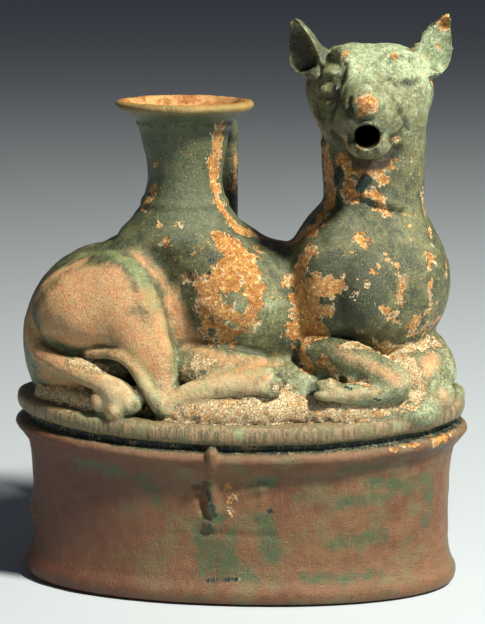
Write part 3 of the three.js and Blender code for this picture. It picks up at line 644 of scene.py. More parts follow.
# %% [markdown]
# ## Marks of wear and of painted shade, placed on the surface
# The glaze is lost in patches, worn thin on the high places and pooled in the
# grooves. Painting such marks by hand would hold at one size only, so each mark
# is a ball or a run of balls on the surface. Its three numbers are a place in
# the picture, across and down, and a radius, all in pixels, and the camera's
# own ray finds the point of the solid there.

# %% Places in the picture
def ray_through(across, down):
    aim = Vector((across - PICTURE_WIDE / 2, PICTURE_HIGH / 2 - down, -FOCAL_PIXELS))
    return (view_turn.to_3x3() @ aim).normalized()


def seen_at(across, down):
    """The solid's point and its distance behind a place in the picture, or the next place beside it."""
    for away in (0, 1, 2, 3, 4, 6, 8, 10):
        for part in range(12 if away else 1):
            side = math.radians(30 * part)
            ray = ray_through(across + away * math.cos(side), down + away * math.sin(side))
            point, _, _, far = solid.ray_cast(view_from, ray)
            if point is not None:
                return point / MM, far / MM
    raise ValueError("no part of the solid shows near this place")


def placed(marks):
    """Every mark as rows of x, y, z and radius in millimetres."""
    rows = []
    for mark in marks:
        knots = []
        for knot in mark:
            point, far = seen_at(knot[0], knot[1])
            knots.append((*point, knot[2] * far / FOCAL_PIXELS))
        rows.append(np.array(knots, float))
    return rows


nose_point = placed([[(367, 105, 4)]])[0][0]
print("the nose is at", nose_point.round(1))

# %% Peeled patches
peeled_marks = [
    [(220, 128, 7), (217, 150, 8), (216, 172, 8), (217, 196, 7), (226, 214, 6), (240, 230, 10)],
    [(210, 162, 6)], [(220, 240, 8), (237, 250, 12), (228, 268, 12), (205, 293, 11), (205, 311, 9),
     (210, 326, 5)], [(185, 276, 3.5), (196, 280, 5), (205, 288, 8)], [(232, 280, 12)], [(227, 305, 5),
     (233, 317, 8)], [(212, 341, 6)], [(237, 343, 4)], [(250, 257, 8)], [(262, 275, 3)], [(250, 290, 5),
     (257, 303, 7)], [(255, 322, 4)], [(235, 335, 4)], [(240, 228, 9), (262, 236, 6), (285, 241, 5),
     (300, 237, 5), (312, 230, 7), (322, 216, 6), (330, 196, 10), (328, 178, 13), (325, 155, 9),
     (321, 140, 6)], [(310, 252, 8), (302, 265, 8), (296, 279, 9), (286, 283, 5)], [(300, 295, 12),
     (318, 287, 13), (333, 285, 9), (345, 285, 4)], [(307, 312, 15), (325, 310, 9)], [(297, 330, 13),
     (320, 330, 9)], [(300, 350, 8), (310, 370, 5)], [(325, 365, 8), (333, 367, 4)], [(345, 165, 11),
     (365, 168, 11), (385, 165, 8), (396, 160, 4)], [(350, 190, 11), (362, 193, 5), (375, 195, 5),
     (388, 212, 4.5)], [(385, 180, 5)], [(422, 194, 3.5), (426, 210, 3.5)], [(359, 236, 4.5),
     (365, 247, 4.5)], [(374, 239, 2)], [(375, 270, 4)], [(357, 294, 2.5), (367, 286, 2.5)],
    [(430, 230, 3.5), (430, 243, 1.6)], [(430, 255, 3.5), (430, 268, 2.6), (429, 290, 3.6)],
    [(446, 266, 2.2), (445, 275, 2.2)], [(437, 317, 5)], [(415, 318, 4), (410, 333, 5)], [(425, 330, 7)],
    [(362, 332, 3.5)], [(380, 306, 2), (386, 316, 3.5), (396, 322, 3)], [(164, 244, 4)],
    [(181, 226, 2.6)], [(175, 255, 2.4)], [(192, 252, 2)], [(160, 224, 1.6)], [(153, 190, 4.5),
     (146, 204, 5)], [(157, 165, 1.6)], [(290, 25, 4), (296, 32, 2)], [(345, 57, 4.5)], [(395, 58, 3)],
    [(365, 98, 9), (362, 107, 9.5), (372, 104, 8)], [(318, 105, 3), (319, 122, 4.5), (321, 138, 5)],
    [(448, 17, 4), (446, 27, 4)], [(235, 252, 11), (248, 272, 10), (256, 295, 9), (250, 318, 8)],
    [(215, 300, 10), (220, 325, 9), (228, 340, 6)], [(240, 330, 7)], [(205, 330, 6)], [(258, 250, 5)],
    [(384, 254, 1.5), (397, 266, 2), (402, 279, 2), (400, 296, 2), (397, 312, 1.5)], [(396, 139, 3.6)],
    [(413, 159, 2.6)], [(447, 19, 4.5), (443, 30, 2.5)], [(429, 57, 2.6)], [(423, 62, 2.2)],
    [(439, 47, 1.6)], [(415, 46, 2)], [(432, 80, 2)], [(317, 123, 3.5)], [(362, 149, 2)], [(226, 487, 3)],
    [(230, 497, 3), (232, 510, 2.4)], [(200, 450, 3), (212, 452, 3)], [(237, 453, 3), (250, 452, 3)],
    [(388, 447, 2.5), (415, 444, 3.5)], [(436, 440, 6), (446, 428, 6)], [(236, 160, 4), (237, 190, 5)],
]
print(len(peeled_marks), "peeled patches")

# %% Worn places
worn_marks = [
    [(37, 296, 7), (55, 275, 9), (80, 262, 9)], [(44, 313, 9), (68, 335, 11.5), (101, 342, 12)],
    [(120, 330, 16), (145, 350, 14), (160, 375, 9)], [(146, 298, 8), (157, 320, 7.5), (164, 350, 7)],
    [(30, 320, 7), (34, 345, 8), (50, 375, 8), (80, 388, 8), (110, 388, 8)], [(100, 400, 7.5),
     (125, 400, 8), (112, 412, 6.5)], [(165, 400, 8), (195, 392, 8), (225, 382, 9), (250, 378, 9)],
    [(200, 352, 7), (225, 358, 7), (250, 362, 7), (272, 364, 6)], [(188, 340, 7.5), (180, 320, 6.5),
     (172, 300, 5)], [(57, 300, 16), (80, 282, 20), (108, 283, 18), (125, 300, 13)], [(62, 325, 14),
     (95, 315, 22), (128, 330, 17), (150, 355, 12), (166, 385, 8)], [(45, 330, 6)], [(30, 325, 5),
     (32, 350, 5), (44, 374, 6), (72, 388, 6), (100, 385, 6), (125, 380, 5)], [(120, 398, 8),
     (108, 410, 5)], [(132, 252, 2.6), (150, 270, 3.4), (168, 290, 4.5), (180, 315, 5.5), (190, 336, 7),
     (206, 351, 7), (226, 361, 6)], [(172, 398, 6), (190, 398, 5), (215, 385, 4), (235, 376, 4)],
    [(242, 392, 6), (262, 386, 5)], [(402, 279, 1.5), (400, 296, 1.5)], [(340, 350, 3), (365, 362, 3),
     (395, 380, 3.6)], [(325, 386, 2.4), (345, 393, 2.4), (375, 392, 2.4)], [(318, 396, 2.2),
     (345, 402, 2.4)], [(400, 385, 4), (418, 375, 6), (432, 362, 8)], [(440, 395, 5), (450, 405, 7)],
    [(300, 38, 2), (310, 52, 2)], [(345, 140, 3), (350, 148, 2)],
]
print(len(worn_marks), "worn places")

# %% Crusts, pooled glaze and green runs
crust_marks = [
    [(345, 345, 5), (365, 347, 6), (390, 349, 7), (415, 346, 7), (436, 343, 5.5)], [(400, 358, 9),
     (412, 372, 10.5), (420, 390, 8.5), (412, 400, 6)], [(332, 381, 4.5), (350, 379, 5.5),
     (370, 383, 4.5)], [(196, 364, 8.5), (189, 377, 8), (210, 373, 5.5)], [(75, 362, 6), (98, 369, 6),
     (123, 373, 5.5)], [(300, 412, 4.5), (320, 415, 5.5), (350, 416, 5.5), (385, 414, 5.5),
     (412, 407, 4.5)], [(182, 409, 5.5), (205, 408, 6.5), (235, 406, 6), (262, 401, 5)], [(275, 388, 5),
     (290, 390, 4)], [(49, 399, 6), (79, 405, 5)], [(72, 362, 4), (95, 370, 5), (122, 374, 4)],
    [(190, 378, 6), (200, 366, 8), (215, 362, 5)], [(60, 402, 4), (40, 395, 4)], [(70, 412, 3)],
    [(140, 414, 4), (146, 410, 2)], [(182, 413, 3), (205, 408, 4), (235, 408, 4), (262, 402, 4)],
    [(240, 397, 4)], [(345, 347, 4), (365, 351, 4), (385, 356, 5), (410, 348, 6), (432, 345, 5)],
    [(330, 384, 3), (350, 381, 4), (368, 384, 3)], [(310, 408, 4), (335, 414, 3.4), (365, 412, 3.4),
     (395, 408, 3.4), (415, 404, 3)], [(400, 362, 7), (412, 380, 7), (420, 395, 4)], [(429, 292, 3),
     (428, 310, 3.4), (424, 328, 4)], [(270, 396, 3), (285, 392, 3)], [(300, 415, 3)], [(230, 418, 2.4),
     (255, 418, 2.4)],
]

pooled_marks = [
    [(152, 417, 2.6), (168, 418, 3), (186, 418, 2.6)], [(339, 173, 7), (336, 181, 5)], [(366, 180, 6),
     (360, 188, 5)], [(337, 196, 3), (338, 208, 3)], [(209, 262, 2)], [(211, 259, 1.6), (217, 262, 1.2)],
    [(209, 273, 2.6)], [(369, 131, 3)], [(335, 88, 3), (339, 96, 2)], [(222, 148, 0.5)], [(204, 484, 1.8),
     (210, 482, 1.6)], [(208, 490, 2.4), (212, 503, 3), (216, 514, 2.6)], [(210, 525, 2)],
    [(270, 511, 2.4)], [(207, 580, 2), (225, 580, 2), (240, 580, 1.6)], [(305, 422, 3), (318, 420, 2.4)],
    [(34, 533, 4), (30, 545, 4)], [(75, 470, 2.5)], [(300, 405, 2)], [(346, 387, 2), (380, 400, 1.6)],
    [(296, 262, 1.6)], [(341, 262, 1.6)],
]

green_runs_marks = [
    [(142, 478, 6), (152, 490, 7), (160, 504, 3)], [(200, 535, 9), (225, 560, 15), (250, 575, 8)],
    [(265, 520, 9), (270, 550, 12)], [(215, 520, 7)], [(375, 483, 7), (409, 486, 7)], [(250, 485, 3),
     (272, 482, 5)], [(340, 505, 4), (370, 497, 6), (392, 500, 4)], [(330, 545, 5), (355, 540, 7),
     (385, 535, 6)], [(428, 480, 6), (430, 505, 5), (425, 525, 4)], [(305, 578, 4), (345, 578, 5),
     (382, 574, 4)], [(193, 598, 3), (208, 599, 3)], [(230, 535, 8)], [(205, 560, 5), (204, 575, 4)],
    [(300, 500, 5)], [(80, 462, 6), (120, 470, 5)], [(340, 470, 5), (380, 466, 5)], [(410, 540, 4)],
    [(100, 416, 3), (80, 412, 3)], [(400, 425, 4)], [(240, 434, 3.5)],
]

rim_green_marks = [
    [(62, 268, 4), (84, 255, 5), (110, 254, 5), (130, 264, 7), (142, 282, 8), (150, 300, 7),
     (160, 318, 3), (168, 345, 2), (173, 372, 2)], [(112, 340, 3), (130, 352, 3), (143, 368, 3),
     (150, 385, 3), (160, 398, 3)], [(186, 395, 3), (205, 388, 3)], [(45, 318, 3), (52, 345, 4),
     (72, 357, 4)], [(30, 300, 3)], [(55, 376, 3), (80, 378, 3)], [(232, 372, 3), (262, 372, 4)],
]
print(len(crust_marks), "crusts,", len(pooled_marks), "pools")
print(len(green_runs_marks) + len(rim_green_marks), "green runs")

# %% Painted shade in the face and the ear
# Painted shade: near-black marks in the creases round the eyes, nostrils and mouth, in the left ear's hollow,
# whose glaze is also dark, on the shaded left cheek and under the jaw.
painted_shade_marks = [
    [(297, 35, 8), (301, 49, 13), (308, 62, 12)], [(320, 70.5, 1.8), (330, 80, 3), (341, 77.5, 1.8)],
    [(321, 94, 2), (329, 99, 2), (336, 94, 2)], [(345.5, 65, 1.6), (341, 80, 2), (335, 105, 2.5),
     (331, 115, 2)], [(349, 100, 2), (350, 112, 3), (355, 122, 2.5), (366, 122, 4.5)], [(332, 135, 4),
     (339, 140, 3)], [(384, 143, 2), (396, 137, 2), (405, 127, 1.4)], [(392, 59, 1.6), (391, 70, 2),
     (388, 78, 2)], [(395, 84, 1.5), (413, 84, 2), (419, 82, 1.6)], [(380, 82, 1), (392, 97, 1),
     (402, 115, 1.2), (407, 130, 1)], [(316, 104, 3.5), (318, 120, 5), (322, 138, 6)],
    [(346, 150, 4), (356, 162, 7), (368, 166, 8), (384, 163, 7),
     (398, 152, 5)],
    [(360, 157, 1.5)], [(374, 150, 1.5), (376, 158, 2)], [(352, 130, 2), (351, 140, 2), (356, 152, 2)],
    [(307, 72, 1.5), (318, 66, 1.5)], [(340, 100, 2)],
]
print(len(painted_shade_marks), "painted_shades")


# %% Distances into the marks
def into(p, marks, soft=1.2):
    """Millimetres into the nearest mark, negative outside, no less than -6."""
    best = np.full(len(p), 6.0)
    for knots in placed(marks):
        low, high = (knots[:, :3] - knots[:, 3:]).min(0) - 7, (knots[:, :3] + knots[:, 3:]).max(0) + 7
        pick = np.flatnonzero(((p > low) & (p < high)).all(1))
        if len(knots) > 1:
            d = limb(p[pick], knots)
        else:
            d = np.linalg.norm(p[pick] - knots[0, :3], axis=1) - knots[0, 3]
        best[pick] = join(best[pick], d, soft)
    return -np.clip(best, -6, 6)


def waves(p, size, seed, octaves=2):
    """Smooth noise about nought, over lengths of size millimetres."""
    shift = Vector((seed * 17.3, seed * 5.1, seed * 9.7))
    rows = (Vector(row) + shift for row in (p / size).tolist())
    return np.array([noise.fractal(row, 0.6, 2.0, octaves) for row in rows])


at = points_of(skin)
outer = ~inner_points(at)
fields = {
    "peeled": into(at, peeled_marks),
    "worn": into(at, worn_marks, 3),
    "crust": into(at, crust_marks),
    "pooled": into(at, pooled_marks, 0.6),
    "runs": into(at, green_runs_marks, 3),
    "rim_green": into(at, rim_green_marks, 2),
    "painted_shade": into(at, painted_shade_marks, 0.6),
}
print({name: (round(float(f.min()), 1), round(float(f.max()), 1)) for name, f in fields.items()})

# %% [markdown]
# ## Relief too fine for the solid
# A moulded and hand-finished body is never quite even, so slow waves go over
# all of it. Deposits stand proud, and the front of the plinth has a run of
# clay beside a crack. Ridges and grooves are runs of balls like the marks, with
# a height in millimetres.

# %% Ridges, grooves and lumps
relief_runs = [
    (1.2, 1.6, [(-6.0, -30, 46.0, 1.5), (-5.7, -29, 38, 1.5), (-5.9, -29, 29, 1.8), (-6.5, -29, 23.6, 1.7)]),
    (1.2, 0.8, [(-6.0, -31, 46.6, 1.9), (-6.0, -31, 45.4, 1.9)]),
    (-1.2, 0.8, [(-11.0, -29, 34.8, 0.5), (-8.7, -29, 36.0, 0.5), (-9.9, -29, 32.2, 0.8),
                 (-8.8, -29, 28.2, 0.9), (-7.1, -29, 25.4, 0.8)]),
    (0.45, 1.4, [(-1.4, -29, 32.2, 0.8), (4.4, -29, 33.6, 0.8), (9.2, -29, 35.2, 0.7)]),
    (0.45, 1.4, [(7.9, -29, 34.4, 0.7), (8.4, -29, 29.8, 0.7), (7.2, -29, 26.2, 0.8)]),
    (-0.35, 1.2, [(-11, -29, 21.4, 0.6), (0, -29, 20.6, 0.6), (12, -29, 20.4, 0.6)]),
    (1.4, 2.2, [(-62.6, -7, 21.5, 1.6), (-62.2, -7.4, 18.6, 1.8)]),
    (0.7, 1.6, [(31.6, -13.5, 119.0, 0.7), (38.6, -14.2, 115.6, 0.7), (46.2, -12, 113.4, 0.7)]),
    (-0.6, 1.2, [(31.6, -13.5, 117.0, 0.6), (38.6, -14.2, 113.8, 0.6), (46.2, -12, 111.6, 0.6)]),
    (0.8, 1.6, [(53.0, -18, 104.0, 0.5), (53.2, -19, 96.0, 0.8), (53.0, -19, 86.0, 1.0)]),
]


# rows of height and x where a lobe ends: the upper arm and the haunch
arm_edge = [(77.5, 43.0), (83.7, 45.1), (89.8, 46.1), (96.1, 44.5), (101.5, 41.1), (105.8, 37.9)]
thigh_edge = [(64.7, -16.9), (71.7, -18.1), (78.5, -19.4), (87.1, -21.7), (95.0, -25.2), (100.3, -29.9)]


def raised(p, n):
    """Height of the fine relief over the form, in millimetres."""
    h = 0.20 * waves(p, 9, 1) + 0.10 * waves(p, 3.2, 2)
    for height, width, knots in relief_runs:
        knots = np.array(knots, float)
        low, high = knots[:, :3].min(0) - 6, knots[:, :3].max(0) + 6
        pick = np.flatnonzero(((p > low) & (p < high)).all(1))
        knots[:, 3] *= 0.5
        flat = p[pick] * np.array([1, 0.35, 1])
        knots[:, 1] *= 0.35
        d = limb(flat, knots)
        h[pick] += height * (1 - ease(0, width, d))
    front = ease(-8, -13, p[:, 1])
    for rows, rise, fade in ((arm_edge, 1.1, 13), (thigh_edge, 0.9, 7)):
        rows = np.array(rows)
        past = p[:, 0] - np.interp(p[:, 2], rows[:, 0], rows[:, 1])
        ends = ease(rows[0, 0] - 1, rows[0, 0] + 5, p[:, 2]) * ease(rows[-1, 0] + 1, rows[-1, 0] - 5, p[:, 2])
        h += rise * ease(0.5, -0.5, past) * ease(-fade, -1.5, past) * ends * front
    h += 0.30 * waves(p, 4.5, 8) * ease(124, 132, p[:, 2]) * (p[:, 0] > 10)
    # The painted shade marks on the face also sink a little into the relief.
    h -= 0.75 * ease(-1.3, 0.5, fields["painted_shade"]) * (p[:, 2] < 150 + 4 * (p[:, 0] > 22))
    crust = ease(-0.6, 0.8, fields["crust"] + 0.8 * waves(p, 2.2, 3))
    h += crust * (0.35 + 0.45 * waves(p, 1.9, 4, 3))
    h -= 0.22 * ease(-0.3, 0.3, fields["peeled"] + 0.7 * waves(p, 2.4, 5))
    return h


d = outside(at)
normal = slope_of(outside, at, d)
normal /= np.maximum(np.linalg.norm(normal, axis=1, keepdims=True), 1e-6)
print("normals ready")

# %% [markdown]
# ## Fields for the hidden sides
# The marks were read from the side that faces the viewer. The far flank came
# from the same pair of moulds and wore in the same places, so worn and crusted
# marks repeat there. Peeled patches fall at random, from noise.

# %% Values on the points
flank = at.copy()
flank[:, 1] = -np.abs(flank[:, 1])
on_both_flanks = (("worn", worn_marks, 3), ("crust", crust_marks, 1.2), ("rim_green", rim_green_marks, 2))
for name, marks, soft in on_both_flanks:
    fields[name] = np.maximum(fields[name], into(flank, marks, soft))
for path, rise in ((tail_path, 1.2), (shin, 0.2), (sole, 0.6)):
    fields["worn"] = np.maximum(fields["worn"], rise - 2.0 * np.abs(limb(at, path)))
fields["crust"] = np.maximum(fields["crust"], 1.4 - 2.5 * np.abs(beds(at)))
behind = ease(-2, 8, at[:, 1])
random_loss = np.clip(9 * (waves(at, 13, 6, 3) - 0.26), -6, 6)
fields["peeled"] = np.maximum(fields["peeled"], random_loss * behind - 6 * (1 - behind))
random_run = np.clip(9 * (waves(at * np.array([1, 1, 0.4]), 11, 7, 3) - 0.16), -6, 6)
fields["runs"] = np.maximum(fields["runs"], random_run * behind - 6 * (1 - behind))

lift = 3.0 * (at[:, 0] / PLINTH_X) ** 2 * ease(25, 44, at[:, 2])
level = at[:, 2] - lift
# How enclosed each point is, close in and further out. The shader paints shade from it into hollows and
# creases.
fields["hollow"] = np.clip(1 - outside(at + normal * 2.6) / 2.6, 0, 1)
fields["hollow"] = np.maximum(fields["hollow"], 0.5 * np.clip(1 - outside(at + normal * 6) / 6, 0, 1))
# How rounded each point is; the shader paints a highlight from it on the plinth's rounded mouldings and foot.
fields["bulge"] = np.clip(1 + outside(at - normal * 2.2) / 2.2, 0, 1)
fields["plinth_level"] = level
fields["on_plinth"] = ease(1.4, 0.5, plinth(at)) * ease(54.2, 53.0, level)
fields["head"] = ease(122, 136, at[:, 2]) * ease(8, 14, at[:, 0])
belly = np.linalg.norm((at - np.array([3, -18, 84])) / np.array([14, 14, 14]), axis=1)
# The face's share of the tone is painted light and shade: lighter up towards the brows and ears, darker low
# on the muzzle and on the left side, away from the key lamp. The other terms make the glaze paler on the
# belly and the low parts, a little paler to the right, and darker on the chest.
painted_face_shading = 0.30 + 0.30 * ease(140, 156, at[:, 2]) - 0.2 * ease(32, 26, at[:, 0])
fields["tone"] = (0.18 + fields["head"] * painted_face_shading + 0.42 * ease(1, 0.3, belly)
                  + 0.40 * ease(76, 66, at[:, 2]) + 0.06 * ease(28, 46, at[:, 0]))
chest = np.linalg.norm((at - np.array([34, -22, 92])) / np.array([14, 14, 16]), axis=1)
fields["tone"] -= 0.22 * ease(1, 0.3, chest)
fields["cream"] = ease(70, 64, at[:, 2]) * ease(-42, -36, at[:, 0])
# Painted shade on the left of the plinth's front, away from the key lamp: a darker, redder brown.
fields["painted_left_shade"] = ease(-8, -46, at[:, 0]) * ease(10, -4, at[:, 1])
fields["rim_gold"] = ease(138.6, 140.8, at[:, 2]) * ease(30, 26, np.hypot(at[:, 0] - NECK_X, at[:, 1]))
fields["vessel_neck"] = ease(22, 17, np.hypot(at[:, 0] - NECK_X, at[:, 1])) * ease(100, 112, at[:, 2])
fields["bore"] = ease(1.4, 0.6, channel(at))
# The painted shade stays off the backs of the ears, and the inside of the pouring hole is painted black as
# shade.
ear_back = ease(0.1, 0.4, normal[:, 1]) * ease(148, 151, at[:, 2])
fields["painted_shade"] = np.minimum(fields["painted_shade"], 2 - 8 * ear_back)
fields["painted_shade"] = np.maximum(fields["painted_shade"], 4 * ease(0.15, 0.0, pouring_hole(at)) - 3)
fields["bore"] = np.maximum(fields["bore"], 1.0 * (~outer & (at[:, 1] > -14)))

shift = raised(at, normal) * outer * ease(0.2, 1.2, channel(at)) * ease(0.2, 1.0, pouring_hole(at))
shift *= ease(0.2, 3, at[:, 2])
at = at + normal * shift[:, None]
skin.vertices.foreach_set("co", (at * MM).ravel())
for name, values in fields.items():
    kept = skin.attributes.new(name, "FLOAT", "POINT")
    kept.data.foreach_set("value", values.astype(np.float32))
skin.polygons.foreach_set("use_smooth", np.ones(len(skin.polygons), bool))
skin.update()
print("relief from", round(float(shift.min()), 2), "to", round(float(shift.max()), 2), "mm")

# %% [markdown]
# ## Glazed clay
# One material covers the vessel, as one body was dipped and fired. From below:
# pinkish clay, a green lead glaze whose tone varies over the body, worn places,
# peeled patches, crusts and dark pools, with painted light and shade on top:
# shade in hollows and creases, a highlight on the plinth's mouldings. Object
# coordinates in millimetres drive the noise, so its grain keeps its size on any
# part.

# %% Node helpers
def tree_tools(tree):
    """Short ways to add nodes to a tree. Sockets or plain values go in."""
    def put(kind, ins=None, **settings):
        item = tree.nodes.new(kind)
        for key, value in settings.items():
            setattr(item, key, value)
        for key, value in (ins or {}).items():
            if isinstance(value, bpy.types.NodeSocket):
                tree.links.new(value, item.inputs[key])
            else:
                item.inputs[key].default_value = value
        return item

    def calc(op, a, b=0.0, c=None):
        ins = {0: a, 1: b}
        if c is not None:
            ins[2] = c
        return put("ShaderNodeMath", ins, operation=op).outputs[0]

    def blend(mask, a, b, kind="MIX"):
        return put("ShaderNodeMix", {0: mask, 6: a, 7: b}, data_type="RGBA", blend_type=kind).outputs[2]

    def step(value, low, high, out_low=0.0, out_high=1.0):
        ins = {"Value": value, "From Min": low, "From Max": high, "To Min": out_low, "To Max": out_high}
        return put("ShaderNodeMapRange", ins, interpolation_type="SMOOTHSTEP").outputs["Result"]

    return put, calc, blend, step


# A group that cuts a distance field ragged with fine and coarse noise.
ragged = bpy.data.node_groups.new("ragged_edge", "ShaderNodeTree")
for name, kind, start in (("Field", "NodeSocketFloat", 0.0), ("Place", "NodeSocketVector", (0, 0, 0)),
                          ("Amount", "NodeSocketFloat", 1.0), ("Softness", "NodeSocketFloat", 0.15),
                          ("Grain", "NodeSocketFloat", 1.0)):
    socket = ragged.interface.new_socket(name, in_out="INPUT", socket_type=kind)
    socket.default_value = start
ragged.interface.new_socket("Mask", in_out="OUTPUT", socket_type="NodeSocketFloat")
ragged.interface.new_socket("Rim", in_out="OUTPUT", socket_type="NodeSocketFloat")
put, calc, blend, step = tree_tools(ragged)
ins = put("NodeGroupInput").outputs
fine_in = {"Vector": ins["Place"], "Scale": calc("MULTIPLY", ins["Grain"], 1.3),
           "Detail": 5.0, "Roughness": 0.62}
fine = put("ShaderNodeTexNoise", fine_in).outputs["Fac"]
broad_in = {"Vector": ins["Place"], "Scale": calc("MULTIPLY", ins["Grain"], 0.42), "Detail": 2.0}
broad = put("ShaderNodeTexNoise", broad_in).outputs["Fac"]
fine_part = calc("MULTIPLY", calc("SUBTRACT", fine, 0.5), 3.4)
broad_part = calc("MULTIPLY", calc("SUBTRACT", broad, 0.5), 4.2)
wander = calc("ADD", fine_part, broad_part)
edge = calc("MULTIPLY_ADD", wander, ins["Amount"], ins["Field"])
low = calc("MULTIPLY", ins["Softness"], -1.0)
mask = step(edge, low, ins["Softness"])
rim_band = step(calc("ABSOLUTE", calc("SUBTRACT", edge, 0.25)), 0.45, 0.1)
put("NodeGroupOutput", {"Mask": mask, "Rim": rim_band})
print("groups:", [g.name for g in bpy.data.node_groups])

# %% Glaze, losses and deposits
glazed = bpy.data.materials.new("glazed_clay")
glazed.use_nodes = True
tree = glazed.node_tree
tree.nodes.clear()
put, calc, blend, step = tree_tools(tree)
objects = put("ShaderNodeTexCoord").outputs["Object"]
place = put("ShaderNodeVectorMath", {0: objects, 3: 1000.0}, operation="SCALE").outputs["Vector"]
tall = put("ShaderNodeVectorMath", {0: place, 1: (1.0, 1.0, 0.09)}, operation="MULTIPLY").outputs["Vector"]


def field(name):
    return put("ShaderNodeAttribute", attribute_name=name).outputs["Fac"]


def grain(scale, detail=3.0, vector=None, rough=0.55):
    ins = {"Vector": vector or place, "Scale": scale, "Detail": detail, "Roughness": rough}
    return put("ShaderNodeTexNoise", ins).outputs["Fac"]


def cut(name, amount, softness=0.15, size=1.0):
    ins = {"Field": field(name), "Place": place, "Amount": amount, "Softness": softness, "Grain": size}
    item = put("ShaderNodeGroup", node_tree=ragged)
    for key, value in ins.items():
        if isinstance(value, bpy.types.NodeSocket):
            tree.links.new(value, item.inputs[key])
        else:
            item.inputs[key].default_value = value
    return item


mottle = grain(1.5, 4.0, rough=0.75)
speckle = grain(3.0, 3.0, rough=0.8)
patchy = grain(0.33, 4.0, rough=0.65)
cloud = grain(0.13, 3.0)
drift = grain(0.05, 2.0)
streak = grain(1.1, 4.0, tall, 0.6)
fine_streak = grain(2.6, 2.0, tall, 0.6)
hollow, bulge, level, tone = field("hollow"), field("bulge"), field("plinth_level"), field("tone")
on_neck, on_plinth, in_bore = field("vessel_neck"), field("on_plinth"), field("bore")

loss = cut("peeled", 1.7, 0.12)
peeled, loss_rim = loss.outputs["Mask"], loss.outputs["Rim"]
worn = cut("worn", 1.1, 1.9, 0.5).outputs["Mask"]
crust = cut("crust", 1.5, 0.5).outputs["Mask"]
pooled = cut("pooled", 0.45, 0.25).outputs["Mask"]
runs = cut("runs", 1.5, 1.6, 0.7).outputs["Mask"]
rim = cut("rim_green", 0.9, 1.1, 0.8).outputs["Mask"]
painted_shade = cut("painted_shade", 0.8, 1.5).outputs["Mask"]
flecks = step(calc("MULTIPLY_ADD", cloud, 0.35, grain(0.75, 4.0, rough=0.65)), 0.85, 0.87)
print("masks cut")

# %% Colours laid over each other
PALE, OLIVE, DEEP = (0.34, 0.43, 0.25, 1), (0.150, 0.150, 0.062, 1), (0.030, 0.042, 0.017, 1)
uneven = calc("MULTIPLY_ADD", patchy, 1.1, calc("MULTIPLY_ADD", cloud, 0.7, -0.9))
lightness = calc("ADD", tone, uneven)
green = blend(step(lightness, 0.0, 0.45), DEEP, OLIVE)
green = blend(step(lightness, 0.40, 0.95), green, PALE)
green = blend(calc("MULTIPLY", on_neck, 0.75), green, (0.075, 0.098, 0.046, 1))
green = blend(step(streak, 0.50, 0.70, 0.0, 0.5), green, DEEP)
green = blend(step(mottle, 0.49, 0.63, 0.0, 0.75), green, DEEP)
green = blend(calc("MULTIPLY", tone, step(mottle, 0.46, 0.34, 0.0, 0.8)), green, (0.60, 0.66, 0.40, 1))
green = blend(step(speckle, 0.58, 0.68, 0.0, 0.55), green, (0.62, 0.57, 0.32, 1))
# Painted shade: the glaze darkens to near black in hollows and creases.
green = blend(step(hollow, 0.30, 0.75, 0.0, 0.85), green, (0.040, 0.050, 0.020, 1))

tan = blend(step(patchy, 0.35, 0.65), (0.54, 0.265, 0.115, 1), (0.50, 0.33, 0.15, 1))
tan = blend(step(mottle, 0.50, 0.66, 0.0, 0.75), tan, (0.30, 0.15, 0.06, 1))
tan = blend(step(mottle, 0.46, 0.36, 0.0, 0.4), tan, (0.78, 0.56, 0.30, 1))
tan = blend(calc("MULTIPLY", field("cream"), step(patchy, 0.38, 0.60, 0.35, 0.9)), tan, (0.60, 0.49, 0.27, 1))
# Painted shade in the hollows of the worn clay.
tan = blend(step(hollow, 0.25, 0.7, 0.0, 0.85), tan, (0.10, 0.085, 0.025, 1))

wall = blend(step(drift, 0.36, 0.62), (0.125, 0.041, 0.015, 1), (0.185, 0.083, 0.034, 1))
wall = blend(step(patchy, 0.45, 0.65, 0.0, 0.45), wall, (0.25, 0.120, 0.050, 1))
wall = blend(step(cloud, 0.48, 0.64, 0.0, 0.65), wall, (0.135, 0.135, 0.055, 1))
lying = put("ShaderNodeVectorMath", {0: place, 1: (0.10, 0.10, 0.75)}, operation="MULTIPLY").outputs["Vector"]
wavy_in = {"Vector": lying, "Scale": 0.5, "Detail": 4.0, "Distortion": 1.2}
wavy = put("ShaderNodeTexNoise", wavy_in).outputs["Fac"]
wavy_line = step(calc("ABSOLUTE", calc("SUBTRACT", wavy, 0.5)), 0.035, 0.0, 0.0, 0.6)
wall = blend(wavy_line, wall, (0.11, 0.05, 0.018, 1))
wall = blend(step(streak, 0.42, 0.68, 0.0, 0.40), wall, (0.17, 0.12, 0.05, 1))
wall = blend(step(fine_streak, 0.5, 0.72, 0.0, 0.25), wall, (0.13, 0.06, 0.022, 1))
wall = blend(step(mottle, 0.52, 0.66, 0.0, 0.35), wall, (0.16, 0.08, 0.035, 1))
# Painted shade: the left of the plinth's front goes a darker, redder brown.
painted_left_shade = calc("MULTIPLY", field("painted_left_shade"), step(patchy, 0.30, 0.60, 0.55, 0.95))
wall = blend(painted_left_shade, wall, (0.105, 0.034, 0.014, 1))
wall = blend(calc("MULTIPLY", runs, step(streak, 0.34, 0.54, 0.25, 1.0)), wall, (0.062, 0.092, 0.036, 1))
band = blend(step(streak, 0.40, 0.62), (0.29, 0.20, 0.105, 1), (0.11, 0.095, 0.042, 1))
band = blend(step(fine_streak, 0.54, 0.7, 0.0, 0.4), band, (0.38, 0.31, 0.17, 1))
band = blend(step(grain(0.2, 3.0), 0.52, 0.62, 0.0, 0.7), band, (0.16, 0.165, 0.07, 1))
band = blend(calc("MULTIPLY", runs, 0.7), band, (0.25, 0.33, 0.16, 1))
wall = blend(step(level, 43.5, 47.5), wall, band)
